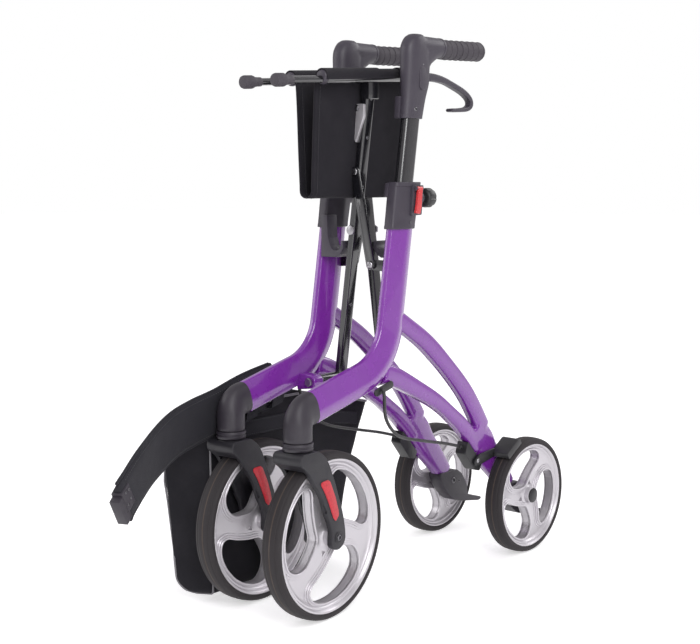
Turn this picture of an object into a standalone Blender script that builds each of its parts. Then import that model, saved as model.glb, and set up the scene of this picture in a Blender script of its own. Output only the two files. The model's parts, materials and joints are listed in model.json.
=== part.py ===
"""Folding rollator with a side-to-side cross brace, held folded and standing on its four wheels.

Metres, +Z up. The user stands behind and faces -Y; the user's left is +X.
The origin is on the floor under the middle of the overall box, and the fold axes run along Y.
"""

import bmesh
import bpy
from math import acos, atan2, cos, hypot, pi, radians, sin, tan
from mathutils import Matrix, Vector

# Clearances
GAP = 0.0003
RUNNING_GAP = 0.0006

# Wheels
FRONT_WHEEL_RADIUS = 0.127
REAR_WHEEL_RADIUS = 0.1015
TYRE_WIDTH = 0.034
TYRE_WALL = 0.0105
RIM_LIP_WIDTH = 0.028
RIM_WALL = 0.0065
WEB_WIDTH = 0.012
HUB_RADIUS = 0.0145
AXLE_RADIUS = 0.005
AXLE_HEAD_RADIUS = 0.0085
AXLE_HEAD = 0.003
WINDOW_COUNT = 3
WINDOW_EDGE = ((120, .80), (119, .70), (126, .58), (133, .48), (145, .37), (160, .29), (178, .237),
               (191, .26), (203, .33), (210, .43), (214, .55), (211, .67), (206, .77), (199, .85),
               (187, .87), (174, .875), (160, .875), (146, .875), (134, .87), (126, .85))
FRONT_RIGHT_SPIN = radians(-50)
REAR_SPIN = -56
CASTER_Y = -0.250
CASTER_TRAIL = 0.0605
CASTER_YAW = radians(4.4)
CASTER_STEM_RADIUS = 0.006
CASTER_STEM_TOP_Z = 0.300
REAR_AXLE_Y = 0.2974
REAR_WHEEL_X = 0.101

# Side frame tube: a column, one bend and a forward arm
SIDE_X = 0.070
COLUMN_TILT = radians(8.98)
COLUMN_MID_Y = -0.0205
COLUMN_MID_Z = 0.580
COLUMN_TOP_Z = 0.640
ARM_SLOPE = radians(14.5)
ARM_MID_Y = -0.180
ARM_MID_Z = 0.3365
ARM_END_Y = -0.2215
BEND_RADIUS = 0.094
TUBE_DEPTH = 0.049
TUBE_HALF_WIDTH = 0.0145
TUBE_NOSE_HALF = 0.0062
TUBE_BACK_HALF = 0.0090
TUBE_WIDEST = 0.033

# Rear wishbone
WISHBONE_WIDTH = 0.023
LEG_END_Y = 0.283
FOOT_TOP_Z = 0.120
FOOT_WIDTH = 0.0275

# Brake cable
CABLE_RADIUS = 0.0026
CABLE_END = (SIDE_X, 0.1425, 0.2085)
GROMMET_MID = (-0.0720, 0.3355)
GROMMET_LENGTH = 0.046
GROMMET_HALF = 0.006
GROMMET_DEPTH = 0.0032

# Handle column
INNER_TUBE_DEPTH = 0.036
INNER_TUBE_WIDTH = 0.017
INNER_TUBE_BACKSET = 0.0015
INNER_TUBE_LENGTH = 0.262
INNER_TUBE_LOW_Z = 0.522
HEIGHT_TRAVEL_DOWN = 0.025
SLEEVE_TOP_Z = 0.652
SLEEVE_LOW_Z = 0.5795
KNOB_Y = 0.0290
KNOB_Z = 0.6270
KNOB_STEM = 0.0055
LATCH_X = 0.0935
LATCH_Z = 0.6420
LATCH_LOW_Y = -0.0045
LATCH_HIGH_Y = 0.0075
LATCH_BARREL = 0.0032
LATCH_PIN = 0.0014
CASTING_OVALS = ((0.7500, 0.0235, 0.0440, 0.0085), (0.7800, 0.0255, 0.0486, 0.0137),
                 (0.8040, 0.0290, 0.0556, 0.0180), (0.8200, 0.0300, 0.0563, 0.0186),
                 (0.8355, 0.0315, 0.0567, 0.0190), (0.8530, 0.0320, 0.0555, 0.0185),
                 (0.8640, 0.0310, 0.0500, 0.0185), (0.8746, 0.0260, 0.0360, 0.0190),
                 (0.8800, 0.0150, 0.0200, 0.0200))
CASTING_NECK_Z = 0.8624
CASTING_DEPTH = 0.044
HANDLE_DRAWN_TOP_Z = 0.784           # top of the inner tube in the handle's outlines
GRIP_RADIUS = 0.0155
GRIP_START_Y = 0.0800
GRIP_LENGTH = 0.1140
GRIP_Z = 0.8610
GRIP_BAR_RADIUS = 0.0088
GRIP_RISE = radians(2.4)

# Cross brace and seat
HINGE_X = 0.032
HINGE_Z = 0.339
RAIL_Z = 0.814
BRACE_DEPTH = 0.020
BRACE_WIDTH = 0.012
FRONT_BRACE_Y = -0.043
REAR_BRACE_Y = -0.008
BARREL_FRONT_Y = -0.0945
BARREL_RADIUS = 0.0100
BARREL_PROUD = 0.0010
HINGE_PIN_RADIUS = 0.004
PIVOT_RADIUS = 0.004
LUG_RADIUS = 0.0105
RAIL_RADIUS = 0.011
RAIL_FRONT_Y = -0.157
RAIL_LENGTH = 0.242
RAIL_TILT = radians(4.0)
ROD_RADIUS = 0.0055
ROD_DROP = 0.0035
ROD_REACH = 0.097
TIP_RADIUS = 0.0098
TIP_LENGTH = 0.036
SEAT_DROP = 0.1875
SEAT_THICKNESS = 0.0024
SEAT_FRONT_Y = -0.155
SEAT_LENGTH = 0.235

# Saddles: low and high Y, then the open rail's centre there
LEFT_SADDLE = (-0.0195, 0.0065, 0.0341, 0.5572)
RIGHT_SADDLE = (-0.0545, -0.0310, 0.0320, 0.5557)
SADDLE_ROOM = 0.0012

# Side link
LINK_FOOT_X = 0.044
LINK_FOOT_Z = 0.524
LINK_TOP_Z = 0.668
LINK_WIDTH = 0.0155
LINK_THICKNESS = 0.0045
LINK_PIN_RADIUS = 0.0032
LINK_BOSS = 0.0012

# Bag and backrest
BAG_NEAR_X = -0.1070
BAG_FAR_X = -0.1695
BAG_FRONT_Y = -0.256
BAG_SLANT = 0.042
BAG_REAR_Y = 0.105
BAG_REAR_TAPER = 0.27
BAG_LOW_Z = 0.020
BAG_TOP_Z = 0.307
BAG_WALL = 0.0025
BAG_TOP_DROP = 0.035
STRAP_WIDTH = 0.025
STRAP_PLACES = (-0.2050, -0.1480)
BAND_WIDTH = 0.066
BAND_THICKNESS = 0.012

# The origin stands on the floor under the middle of the overall box, this far from the frame's own zero
ORIGIN_X = -0.0237
ORIGIN_Y = -0.0677

# Colours (linear) and finishes
PURPLE = ("frame_paint", (0.24, 0.075, 0.45), 0.25, 0.2)
CHARCOAL = ("charcoal_plastic", (0.055, 0.052, 0.060), 0.55, 0.0)
RUBBER = ("grip_rubber", (0.05, 0.048, 0.052), 0.8, 0.0)
TYRE = ("tyre_rubber", (0.075, 0.070, 0.080), 0.8, 0.0)
SILVER = ("rim_silver", (0.52, 0.51, 0.54), 0.35, 0.5)
BLACK_TUBE = ("black_tube", (0.02, 0.02, 0.024), 0.3, 0.3)
STEEL = ("bolt_steel", (0.55, 0.55, 0.56), 0.3, 1.0)
RED = ("red_plastic", (0.50, 0.04, 0.06), 0.3, 0.0)
FABRIC = ("dark_fabric", (0.03, 0.029, 0.035), 0.9, 0.0)
CABLE_SKIN = ("cable_sheath", (0.015, 0.015, 0.015), 0.5, 0.0)

# What follows from the sizes above
WHEEL_Y = CASTER_Y + CASTER_TRAIL
FORK_GAP_HALF = TYRE_WIDTH / 2 + 0.0015
FORK_HALF = FORK_GAP_HALF + 0.0086
REAR_INNER_X = REAR_WHEEL_X - TYRE_WIDTH / 2
FOOT_OUTER_X = REAR_INNER_X - 0.0005
PIVOT_Z = (HINGE_Z + RAIL_Z) / 2
BRACE_ARM = hypot(HINGE_X, PIVOT_Z - HINGE_Z)
BRACE_LEAN = acos((PIVOT_Z - HINGE_Z) / BRACE_ARM)
ROUND_STEPS = 32


def clear_scene():
    for old in list(bpy.data.objects):
        bpy.data.objects.remove(old, do_unlink=True)


def new_collection(name):
    made = bpy.data.collections.new(name)
    bpy.context.scene.collection.children.link(made)
    return made


def finish_material(finish):
    name, colour, roughness, metallic = finish
    found = bpy.data.materials.get(name)
    if found:
        return found
    made = bpy.data.materials.new(name)
    made.use_nodes = True
    shader = made.node_tree.nodes["Principled BSDF"]
    shader.inputs["Base Color"].default_value = (*colour, 1.0)
    shader.inputs["Roughness"].default_value = roughness
    shader.inputs["Metallic"].default_value = metallic
    made.diffuse_color = (*colour, 1.0)
    return made


def as_object(name, mesh):
    made = bpy.data.objects.new(name, mesh)
    PARTS.objects.link(made)
    return made


def from_bmesh(name, shape):
    """An object from a bmesh, with doubles merged and faces pointing out."""
    bmesh.ops.remove_doubles(shape, verts=shape.verts, dist=1e-6)
    bmesh.ops.recalc_face_normals(shape, faces=shape.faces)
    mesh = bpy.data.meshes.new(name)
    shape.to_mesh(mesh)
    shape.free()
    return as_object(name, mesh)


def bake(thing):
    """The object as a plain mesh: modifiers and curve settings applied, caps welded."""
    bpy.context.view_layer.update()
    graph = bpy.context.evaluated_depsgraph_get()
    mesh = bpy.data.meshes.new_from_object(thing.evaluated_get(graph))
    shape = bmesh.new()
    shape.from_mesh(mesh)
    shape.transform(thing.matrix_world)
    bpy.data.meshes.remove(mesh)
    name = thing.name
    bpy.data.objects.remove(thing, do_unlink=True)
    return from_bmesh(name, shape)


def loft(name, rings):
    """A closed skin over rings of points, each with the same count, with flat ends."""
    shape = bmesh.new()
    loops = [[shape.verts.new(point) for point in ring] for ring in rings]
    count = len(rings[0])
    for near, far in zip(loops, loops[1:]):
        for i in range(count):
            j = (i + 1) % count
            shape.faces.new((near[i], near[j], far[j], far[i]))
    shape.faces.new(loops[0])
    shape.faces.new(loops[-1])
    return from_bmesh(name, shape)


def outline_object(name, outline, half, matrix):
    """A flat outline extruded to both sides of its plane, placed by the matrix."""
    curve = bpy.data.curves.new(name, "CURVE")
    curve.dimensions = "2D"
    curve.fill_mode = "BOTH"
    curve.extrude = half
    line = curve.splines.new("POLY")
    line.points.add(len(outline) - 1)
    for point, (u, v) in zip(line.points, outline):
        point.co = (u, v, 0, 1)
    line.use_cyclic_u = True
    made = as_object(name, curve)
    made.matrix_world = matrix
    return bake(made)


def plate_across_x(name, outline_yz, x_low, x_high):
    """A side-view outline (Y, Z), extruded from x_low to x_high."""
    turn = Matrix(((0, 0, 1, (x_low + x_high) / 2), (1, 0, 0, 0), (0, 1, 0, 0), (0, 0, 0, 1)))
    return outline_object(name, outline_yz, (x_high - x_low) / 2, turn)


def plate_across_y(name, outline_xz, y_low, y_high):
    """A front-view outline (X, Z), extruded from y_low to y_high."""
    turn = Matrix(((1, 0, 0, 0), (0, 0, -1, (y_low + y_high) / 2), (0, 1, 0, 0), (0, 0, 0, 1)))
    return outline_object(name, outline_xz, (y_high - y_low) / 2, turn)


def turned(name, profile, centre, direction, steps=ROUND_STEPS):
    """A profile of (height along the axis, radius) points, turned about the axis."""
    mesh = bpy.data.meshes.new(name)
    edges = [(i, i + 1) for i in range(len(profile) - 1)]
    if profile[0][1] > 0:
        edges.append((len(profile) - 1, 0))
    mesh.from_pydata([(radius, 0, height) for height, radius in profile], edges, [])
    made = as_object(name, mesh)
    screw = made.modifiers.new("Turn", "SCREW")
    screw.steps = steps
    screw.render_steps = steps
    screw.use_merge_vertices = True
    screw.merge_threshold = 0.00001
    turn = Vector(direction).to_track_quat("Z", "X").to_matrix().to_4x4()
    made.matrix_world = Matrix.Translation(centre) @ turn
    return bake(made)


def cylinder(name, start, end, radius, steps=16):
    start, end = Vector(start), Vector(end)
    length = (end - start).length
    return turned(name, [(length, 0), (length, radius), (0, radius), (0, 0)], start, end - start, steps)


def tube_through(name, points, radius, resolution=2):
    """A round wire or rod through points, with closed ends."""
    curve = bpy.data.curves.new(name, "CURVE")
    curve.dimensions = "3D"
    curve.bevel_depth = radius
    curve.bevel_resolution = resolution
    curve.use_fill_caps = True
    line = curve.splines.new("POLY")
    line.points.add(len(points) - 1)
    for point, place in zip(line.points, points):
        point.co = (*place, 1)
    return bake(as_object(name, curve))


def boolean(target, tool, operation):
    step = target.modifiers.new(operation, "BOOLEAN")
    step.operation = operation
    step.solver = "EXACT"
    step.object = tool
    name = target.name
    made = bake(target)
    made.name = name
    return made


def join(target, *others):
    for other in others:
        target = boolean(target, other, "UNION")
        bpy.data.objects.remove(other, do_unlink=True)
    return target


def carve(target, *tools):
    """Cuts each tool out of the target. The tools stay in the cutters collection."""
    for tool in tools:
        target = boolean(target, tool, "DIFFERENCE")
        PARTS.objects.unlink(tool)
        CUTTERS.objects.link(tool)
        tool.hide_render = True
        tool.display_type = "WIRE"
    return target


def joint_empty(name, place):
    """The empty on a joint's axis that the joint's pieces hang from."""
    made = bpy.data.objects.get(name)
    if made is None:
        made = bpy.data.objects.new(name, None)
        made.empty_display_size = 0.02
        made.location = place
        PARTS.objects.link(made)
        bpy.context.view_layer.update()
    return made


def place(thing, finish, empty_name=None, pivot=(0, 0, 0), smooth=radians(35)):
    """Gives a finished piece its material and hangs it on its joint's empty, with its origin there."""
    thing.data.materials.clear()
    thing.data.materials.append(finish_material(finish))
    thing.data.shade_smooth()
    thing.data.set_sharp_from_angle(angle=smooth)
    if empty_name:
        empty = joint_empty(empty_name, pivot)
        thing.data.transform(Matrix.Translation(-Vector(pivot)))
        thing.parent = empty
    return thing


def mirrored(thing, name):
    """The right-hand copy of a left-hand piece."""
    mesh = thing.data.copy()
    mesh.transform(Matrix.Scale(-1, 4, (1, 0, 0)))
    mesh.flip_normals()
    return as_object(name, mesh)


def pair(thing, stem, finish, joint=None, pivot=(0, 0, 0)):
    """Keeps a left-hand piece and adds its right-hand copy, each on its own side's joint."""
    thing.name = stem + "_left"
    right = mirrored(thing, stem + "_right")
    place(thing, finish, joint and joint + "_left", pivot)
    place(right, finish, joint and joint + "_right", (-pivot[0], pivot[1], pivot[2]))


def caster_pair(thing, stem, finish, joint, pivot, right_spin=0.0):
    """A pair that is built straight and then swung by the caster's yaw about its own swivel axis."""
    thing.name = stem + "_left"
    right = mirrored(thing, stem + "_right")
    axle = Vector((-pivot[0], pivot[1], pivot[2]))
    spin = Matrix.Rotation(right_spin, 4, "X")
    right.data.transform(Matrix.Translation(axle) @ spin @ Matrix.Translation(-axle))
    for copy, side, word in ((thing, 1, "_left"), (right, -1, "_right")):
        axis = Vector((side * SIDE_X, CASTER_Y, 0))
        swing = Matrix.Translation(axis) @ Matrix.Rotation(CASTER_YAW, 4, "Z") @ Matrix.Translation(-axis)
        copy.data.transform(swing)
        seat = swing @ Vector((side * pivot[0], pivot[1], pivot[2]))
        place(copy, finish, joint + word, seat)


def column_y(z):
    """The column's centre line at a height."""
    return COLUMN_MID_Y + (z - COLUMN_MID_Z) * tan(COLUMN_TILT)


def frame_stations(top_z, end_y, steps=7):
    """Points down the column, round the bend and along the arm, each with the way to the tube's nose."""
    down = Vector((-sin(COLUMN_TILT), -cos(COLUMN_TILT)))
    forward = Vector((-cos(ARM_SLOPE), -sin(ARM_SLOPE)))
    turn = acos(down.dot(forward))
    slope = tan(ARM_SLOPE)
    lean = tan(COLUMN_TILT)
    corner_y = (COLUMN_MID_Y + lean * (ARM_MID_Z - slope * ARM_MID_Y - COLUMN_MID_Z)) / (1 - lean * slope)
    corner = Vector((corner_y, ARM_MID_Z + slope * (corner_y - ARM_MID_Y)))
    reach = BEND_RADIUS * tan(turn / 2)
    inner = Vector((down.y, -down.x))
    centre = corner - down * reach + inner * BEND_RADIUS
    stations = [(Vector((column_y(top_z), top_z)), Vector((down.y, -down.x)))]
    for i in range(steps + 1):
        angle = turn * i / steps
        outward = -inner
        swung = Vector((outward.x * cos(angle) + outward.y * sin(angle),
                        outward.y * cos(angle) - outward.x * sin(angle)))
        stations.append((centre + swung * BEND_RADIUS, -swung))
    end = Vector((end_y, ARM_MID_Z + slope * (end_y - ARM_MID_Y)))
    stations.append((end, Vector((forward.y, -forward.x))))
    return stations


def tube_section(extra=0.0):
    """Half outline of the tube: depth behind the nose and half width."""
    return [(-extra, TUBE_NOSE_HALF * 0.5 + extra), (0.002, TUBE_NOSE_HALF + extra),
            (TUBE_WIDEST, TUBE_HALF_WIDTH + extra), (TUBE_DEPTH + extra, TUBE_BACK_HALF + extra)]


def frame_skin(name, top_z, end_y, extra=0.0):
    half = tube_section(extra)
    rings = []
    for centre, nose in frame_stations(top_z, end_y):
        ring = []
        for side, run in ((1, half), (-1, reversed(half))):
            for depth, width in run:
                spot = centre + nose * (TUBE_DEPTH / 2 - depth)
                ring.append((SIDE_X + side * width, spot.x, spot.y))
        rings.append(ring)
    return loft(name, rings)


def stadium(depth, width, steps=4):
    """Points (depth, width) of a flat-sided oval."""
    radius = width / 2
    points = []
    for end in (1, -1):
        for i in range(steps + 1):
            angle = end * pi / 2 - pi * i / steps
            points.append((end * (depth / 2 - radius) + radius * cos(angle), radius * sin(angle)))
    return points


def oval_ring(depth, width, x, y, z):
    return [(x + across, y + along, z) for along, across in stadium(depth, width)]


def oval_column(name, z_low, z_high, depth, width):
    """A flat-sided oval bar along the column's line."""
    rings = [oval_ring(depth, width, SIDE_X, column_y(z) + INNER_TUBE_BACKSET, z) for z in (z_low, z_high)]
    return loft(name, rings)


def arc_points(centre, radius, start, end, steps):
    """Points on an arc, angles in degrees."""
    return [(centre[0] + radius * cos(radians(start + (end - start) * i / steps)),
             centre[1] + radius * sin(radians(start + (end - start) * i / steps))) for i in range(steps + 1)]


def make_frame_tubes():
    """The purple tubes, with the hinge lug and pin for the brace and the stud for the side link."""
    for word, side, brace_y in (("left", 1, REAR_BRACE_Y), ("right", -1, FRONT_BRACE_Y)):
        tube = frame_skin("frame_tube_" + word, COLUMN_TOP_Z, ARM_END_Y)
        bore_low = INNER_TUBE_LOW_Z - HEIGHT_TRAVEL_DOWN - 0.006
        bore = oval_column("tube_bore_" + word, bore_low, COLUMN_TOP_Z + 0.01,
                           INNER_TUBE_DEPTH + 2 * GAP, INNER_TUBE_WIDTH + 2 * GAP)
        tube = carve(tube, bore)
        lug_y = BARREL_FRONT_Y - RUNNING_GAP
        lug_outline = arc_points((HINGE_X, HINGE_Z), LUG_RADIUS, 90, 270, 10)
        lug_outline += [(SIDE_X - 0.008, HINGE_Z - LUG_RADIUS), (SIDE_X - 0.008, HINGE_Z + LUG_RADIUS)]
        lug = plate_across_y("lug", lug_outline, lug_y - 0.020, lug_y)
        barrel_back = brace_y + BRACE_DEPTH / 2 + BARREL_PROUD + RUNNING_GAP
        pin = turned("pin", [(0, 0), (0, HINGE_PIN_RADIUS + 0.003), (0.004, HINGE_PIN_RADIUS + 0.003),
                             (0.004, HINGE_PIN_RADIUS), (barrel_back - lug_y + 0.014, HINGE_PIN_RADIUS),
                             (barrel_back - lug_y + 0.014, 0)][::-1],
                     (HINGE_X, barrel_back + 0.004, HINGE_Z), (0, -1, 0), 16)
        tab_front, tab_back, stud_way = link_tab(side)
        tab_outline = arc_points((LINK_FOOT_X, LINK_FOOT_Z), 0.0075, 90, 270, 8)
        tab_outline += [(SIDE_X - 0.004, LINK_FOOT_Z - 0.009), (SIDE_X - 0.004, LINK_FOOT_Z + 0.0075)]
        tab = plate_across_y("tab", tab_outline, tab_front, tab_back)
        face = tab_front if stud_way < 0 else tab_back
        reach = LINK_THICKNESS + 2 * RUNNING_GAP
        stud = turned("stud", [(-0.003, 0), (-0.003, LINK_PIN_RADIUS), (reach, LINK_PIN_RADIUS),
                               (reach, LINK_PIN_RADIUS + 0.0028), (reach + 0.002, LINK_PIN_RADIUS + 0.0028),
                               (reach + 0.002, 0)][::-1],
                      (LINK_FOOT_X, face, LINK_FOOT_Z), (0, stud_way, 0), 14)
        tube = join(tube, lug, pin, tab, stud)
        if side < 0:
            name = tube.name
            flipped = mirrored(tube, "flipped")
            bpy.data.objects.remove(tube, do_unlink=True)
            flipped.name = name
            tube = flipped
        place(tube, PURPLE, "frame_" + word, (side * SIDE_X, 0, 0))


def link_tab(side):
    """Where the link's tab stands along Y, and which way its stud points: ahead of the front brace on
    the left, behind the rear brace on the right."""
    if side > 0:
        face = FRONT_BRACE_Y - BRACE_DEPTH / 2 - LINK_BOSS
        return face, face + 0.005, -1
    face = REAR_BRACE_Y + BRACE_DEPTH / 2 + LINK_BOSS
    return face - 0.013, face, 1


def band_section(centre, direction, depth, x, width):
    """Eight points of a rounded bar's section, square to its path in the side view."""
    normal = Vector((-direction.y, direction.x)).normalized()
    deep, wide = depth / 2, width / 2
    round_off = min(deep, wide) * 0.42
    corners = [(deep, wide - round_off), (deep - round_off, wide), (-deep + round_off, wide),
               (-deep, wide - round_off), (-deep, -wide + round_off), (-deep + round_off, -wide),
               (deep - round_off, -wide), (deep, -wide + round_off)]
    return [(x + w, centre.x + normal.x * d, centre.y + normal.y * d) for d, w in corners]


def side_bar(name, path, depths):
    """A rounded bar along a side-view path of (Y, Z) points, with its depth at each."""
    points = [Vector(point) for point in path]
    rings = []
    for i, centre in enumerate(points):
        before = points[max(i - 1, 0)]
        after = points[min(i + 1, len(points) - 1)]
        rings.append(band_section(centre, after - before, depths[i], SIDE_X, WISHBONE_WIDTH))
    return loft(name, rings)


def make_wishbones():
    """Two arcs from the column's bend that meet in the leg above the rear foot."""
    upper = side_bar("rear_wishbone_left",
                     [(-0.035, 0.443), (-0.004, 0.426), (0.048, 0.394), (0.102, 0.350), (0.145, 0.305),
                      (0.186, 0.252)],
                     [0.030, 0.029, 0.028, 0.031, 0.036, 0.044])
    lower = side_bar("lower_arc",
                     [(-0.062, 0.357), (-0.030, 0.347), (0.025, 0.321), (0.079, 0.2925), (0.134, 0.254),
                      (0.186, 0.212)],
                     [0.034, 0.031, 0.028, 0.026, 0.030, 0.030])
    leg = side_bar("leg",
                   [(0.165, 0.268), (0.205, 0.222), (0.240, 0.178), (0.266, 0.142),
                    (LEG_END_Y, FOOT_TOP_Z + GAP)],
                   [0.040, 0.042, 0.040, 0.038, 0.036])
    whole = join(upper, lower, leg)
    clearance = frame_skin("tube_clearance", COLUMN_TOP_Z, ARM_END_Y, GAP)
    floor_cut = plate_across_x("leg_end_cut", [(0.20, FOOT_TOP_Z + GAP), (0.20, 0.05), (0.36, 0.05),
                                               (0.36, FOOT_TOP_Z + GAP)], 0.03, 0.11)
    whole = carve(whole, clearance, floor_cut)
    pair(whole, "rear_wishbone", PURPLE, "frame", (SIDE_X, 0, 0))


def make_rear_feet():
    """The plastic foot under each leg, with the kerb pedal behind it."""
    outline = [(0.2570, FOOT_TOP_Z), (0.3090, FOOT_TOP_Z), (0.3239, 0.1102), (0.3360, 0.0940),
               (0.3415, 0.0835), (0.3420, 0.0665), (0.3850, 0.0540), (0.3870, 0.0500), (0.3795, 0.0474),
               (0.3246, 0.0567), (0.3026, 0.0626), (0.2830, 0.0770), (0.2714, 0.0895), (0.2600, 0.1080)]
    foot = plate_across_x("rear_foot_left", outline, FOOT_OUTER_X - FOOT_WIDTH, FOOT_OUTER_X)
    pair(foot, "rear_foot", CHARCOAL, "frame", (SIDE_X, 0, 0))


def rounded_ring(centre, along, across, up, depth, width, count=16, power=2.6):
    """A rounded-box ring of points about a centre."""
    ring = []
    for i in range(count):
        angle = 2 * pi * i / count
        u = abs(cos(angle)) ** (2 / power) * (1 if cos(angle) >= 0 else -1)
        v = abs(sin(angle)) ** (2 / power) * (1 if sin(angle) >= 0 else -1)
        ring.append(Vector(centre) + Vector(up) * depth / 2 * u + Vector(across) * width / 2 * v)
    return ring


def make_caster_elbows():
    """The elbow on the arm's end, turned down to the caster, with its collar."""
    slope = tan(ARM_SLOPE)
    start = Vector((ARM_END_Y - 2 * GAP, ARM_MID_Z + slope * (ARM_END_Y - ARM_MID_Y)))
    forward = Vector((-cos(ARM_SLOPE), -sin(ARM_SLOPE)))
    corner = Vector((CASTER_Y, ARM_MID_Z + slope * (CASTER_Y - ARM_MID_Y)))
    turn = acos(forward.dot(Vector((0, -1))))
    radius = 0.024
    reach = radius * tan(turn / 2)
    centre = corner - forward * reach + Vector((forward.y, -forward.x)) * -radius
    rings = [rounded_ring((SIDE_X, start.x, start.y), None, (1, 0, 0), (0, -sin(ARM_SLOPE), cos(ARM_SLOPE)),
                          TUBE_DEPTH - 0.001, 2 * TUBE_HALF_WIDTH + 0.003)]
    steps = 5
    for i in range(steps + 1):
        share = i / steps
        angle = turn * share
        up = Vector((-sin(ARM_SLOPE + angle), cos(ARM_SLOPE + angle)))
        spot = centre + up * radius
        depth = (TUBE_DEPTH - 0.001) * (1 - share) + 0.042 * share
        width = (2 * TUBE_HALF_WIDTH + 0.003) * (1 - share) + 0.042 * share
        rings.append(rounded_ring((SIDE_X, spot.x, spot.y), None, (1, 0, 0), (0, up.x, up.y), depth, width,
                                  power=2.6 - 0.6 * share))
    front = (0, -1, 0)
    low = 0.2787
    for z, size in ((low, 0.042), (low, 0.045), (0.2690, 0.045), (0.2663, 0.042)):
        rings.append(rounded_ring((SIDE_X, CASTER_Y, z), None, (1, 0, 0), front, size, size, power=2.0))
    elbow = loft("caster_elbow_left", rings)
    stem_bore = cylinder("stem_bore", (SIDE_X, CASTER_Y, 0.25),
                         (SIDE_X, CASTER_Y, CASTER_STEM_TOP_Z + 0.002), CASTER_STEM_RADIUS + GAP, 16)
    elbow = carve(elbow, stem_bore)
    pair(elbow, "caster_elbow", CHARCOAL, "frame", (SIDE_X, 0, 0))


def make_forks():
    """Fork blades and crown as one casting, with the wheel's slot and the axle's bore."""
    crown_top = 0.2655
    axle = (WHEEL_Y, FRONT_WHEEL_RADIUS)
    outline = [(-0.2767, 0.2582), (-0.2720, crown_top), (-0.2344, crown_top), (-0.2228, 0.2580),
               (-0.2157, 0.2510), (-0.2087, 0.2408), (-0.2016, 0.2245), (-0.1956, 0.2113),
               (-0.1885, 0.1917), (-0.1800, 0.1702), (-0.1751, 0.1538), (-0.1715, 0.1346)]
    outline += arc_points(axle, 0.0187, -8, -150, 8)
    outline += [(-0.2043, 0.1350), (-0.2090, 0.1523), (-0.2184, 0.1694), (-0.2253, 0.1904),
                (-0.2346, 0.2043), (-0.2483, 0.2218), (-0.2565, 0.2345), (-0.2660, 0.2430),
                (-0.2745, 0.2485)]
    fork = plate_across_x("fork_left", outline, SIDE_X - FORK_HALF, SIDE_X + FORK_HALF)
    slot = cylinder("wheel_slot", (SIDE_X - FORK_GAP_HALF, *axle), (SIDE_X + FORK_GAP_HALF, *axle),
                    FRONT_WHEEL_RADIUS + 0.0045, 40)
    bore = cylinder("fork_bore", (SIDE_X - 0.04, *axle), (SIDE_X + 0.04, *axle), AXLE_RADIUS + GAP, 16)
    fork = carve(fork, slot, bore)
    stem = cylinder("stem", (SIDE_X, CASTER_Y, crown_top - 0.003), (SIDE_X, CASTER_Y, CASTER_STEM_TOP_Z),
                    CASTER_STEM_RADIUS, 16)
    fork = join(fork, stem)
    caster_pair(fork, "fork", CHARCOAL, "caster", (SIDE_X, CASTER_Y, 0))
    face = SIDE_X + FORK_HALF + GAP
    reflector = plate_across_x("fork_reflector_left",
                               [(-0.2314, 0.2170), (-0.2290, 0.2188), (-0.2148, 0.2197), (-0.2101, 0.2158),
                                (-0.1982, 0.1909), (-0.1911, 0.1697), (-0.1899, 0.1618), (-0.1972, 0.1536),
                                (-0.2032, 0.1602), (-0.2127, 0.1819), (-0.2221, 0.2003), (-0.2314, 0.2141)],
                               face, face + 0.0022)
    caster_pair(reflector, "fork_reflector", RED, "caster", (SIDE_X, CASTER_Y, 0))


def wheel_web_window(reach, turn):
    """One comma-shaped window between two spokes, about the axle: degrees and share of the rim's radius."""
    return [(reach * share * cos(radians(angle + turn)), reach * share * sin(radians(angle + turn)))
            for angle, share in WINDOW_EDGE]


def make_wheel(stem, x, y, radius, spin, keep):
    """Rim with its three-spoke web, tyre and axle hardware of one wheel."""
    wide = TYRE_WIDTH / 2
    lip = RIM_LIP_WIDTH / 2
    rim_radius = radius - TYRE_WALL
    barrel = rim_radius - RIM_WALL
    hub = wide - 0.001
    web = WEB_WIDTH / 2
    bore = AXLE_RADIUS + GAP
    half = [(hub, bore), (hub, HUB_RADIUS), (web, HUB_RADIUS + 0.003), (web, barrel - 0.004),
            (lip, barrel), (lip, rim_radius)]
    profile = half + [(-height, reach) for height, reach in reversed(half)]
    rim = turned(stem + "_rim_left", profile, (x, y, radius), (1, 0, 0))
    cutters = []
    for i in range(WINDOW_COUNT):
        window = wheel_web_window(rim_radius, spin + 360 * i / WINDOW_COUNT)
        moved = [(y + u, radius + v) for u, v in window]
        cutters.append(plate_across_x(stem + "_window_" + str(i), moved, x - 0.02, x + 0.02))
    rim = carve(rim, *cutters)
    keep(rim, stem + "_rim", SILVER)
    tread = [(lip * 0.97, rim_radius + GAP), (wide, rim_radius + 0.0035), (wide * 0.88, radius - 0.0025),
             (wide * 0.40, radius)]
    ring = tread + [(-height, reach) for height, reach in reversed(tread)]
    tyre = turned(stem + "_tyre_left", ring, (x, y, radius), (1, 0, 0))
    keep(tyre, stem + "_tyre", TYRE)


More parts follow.
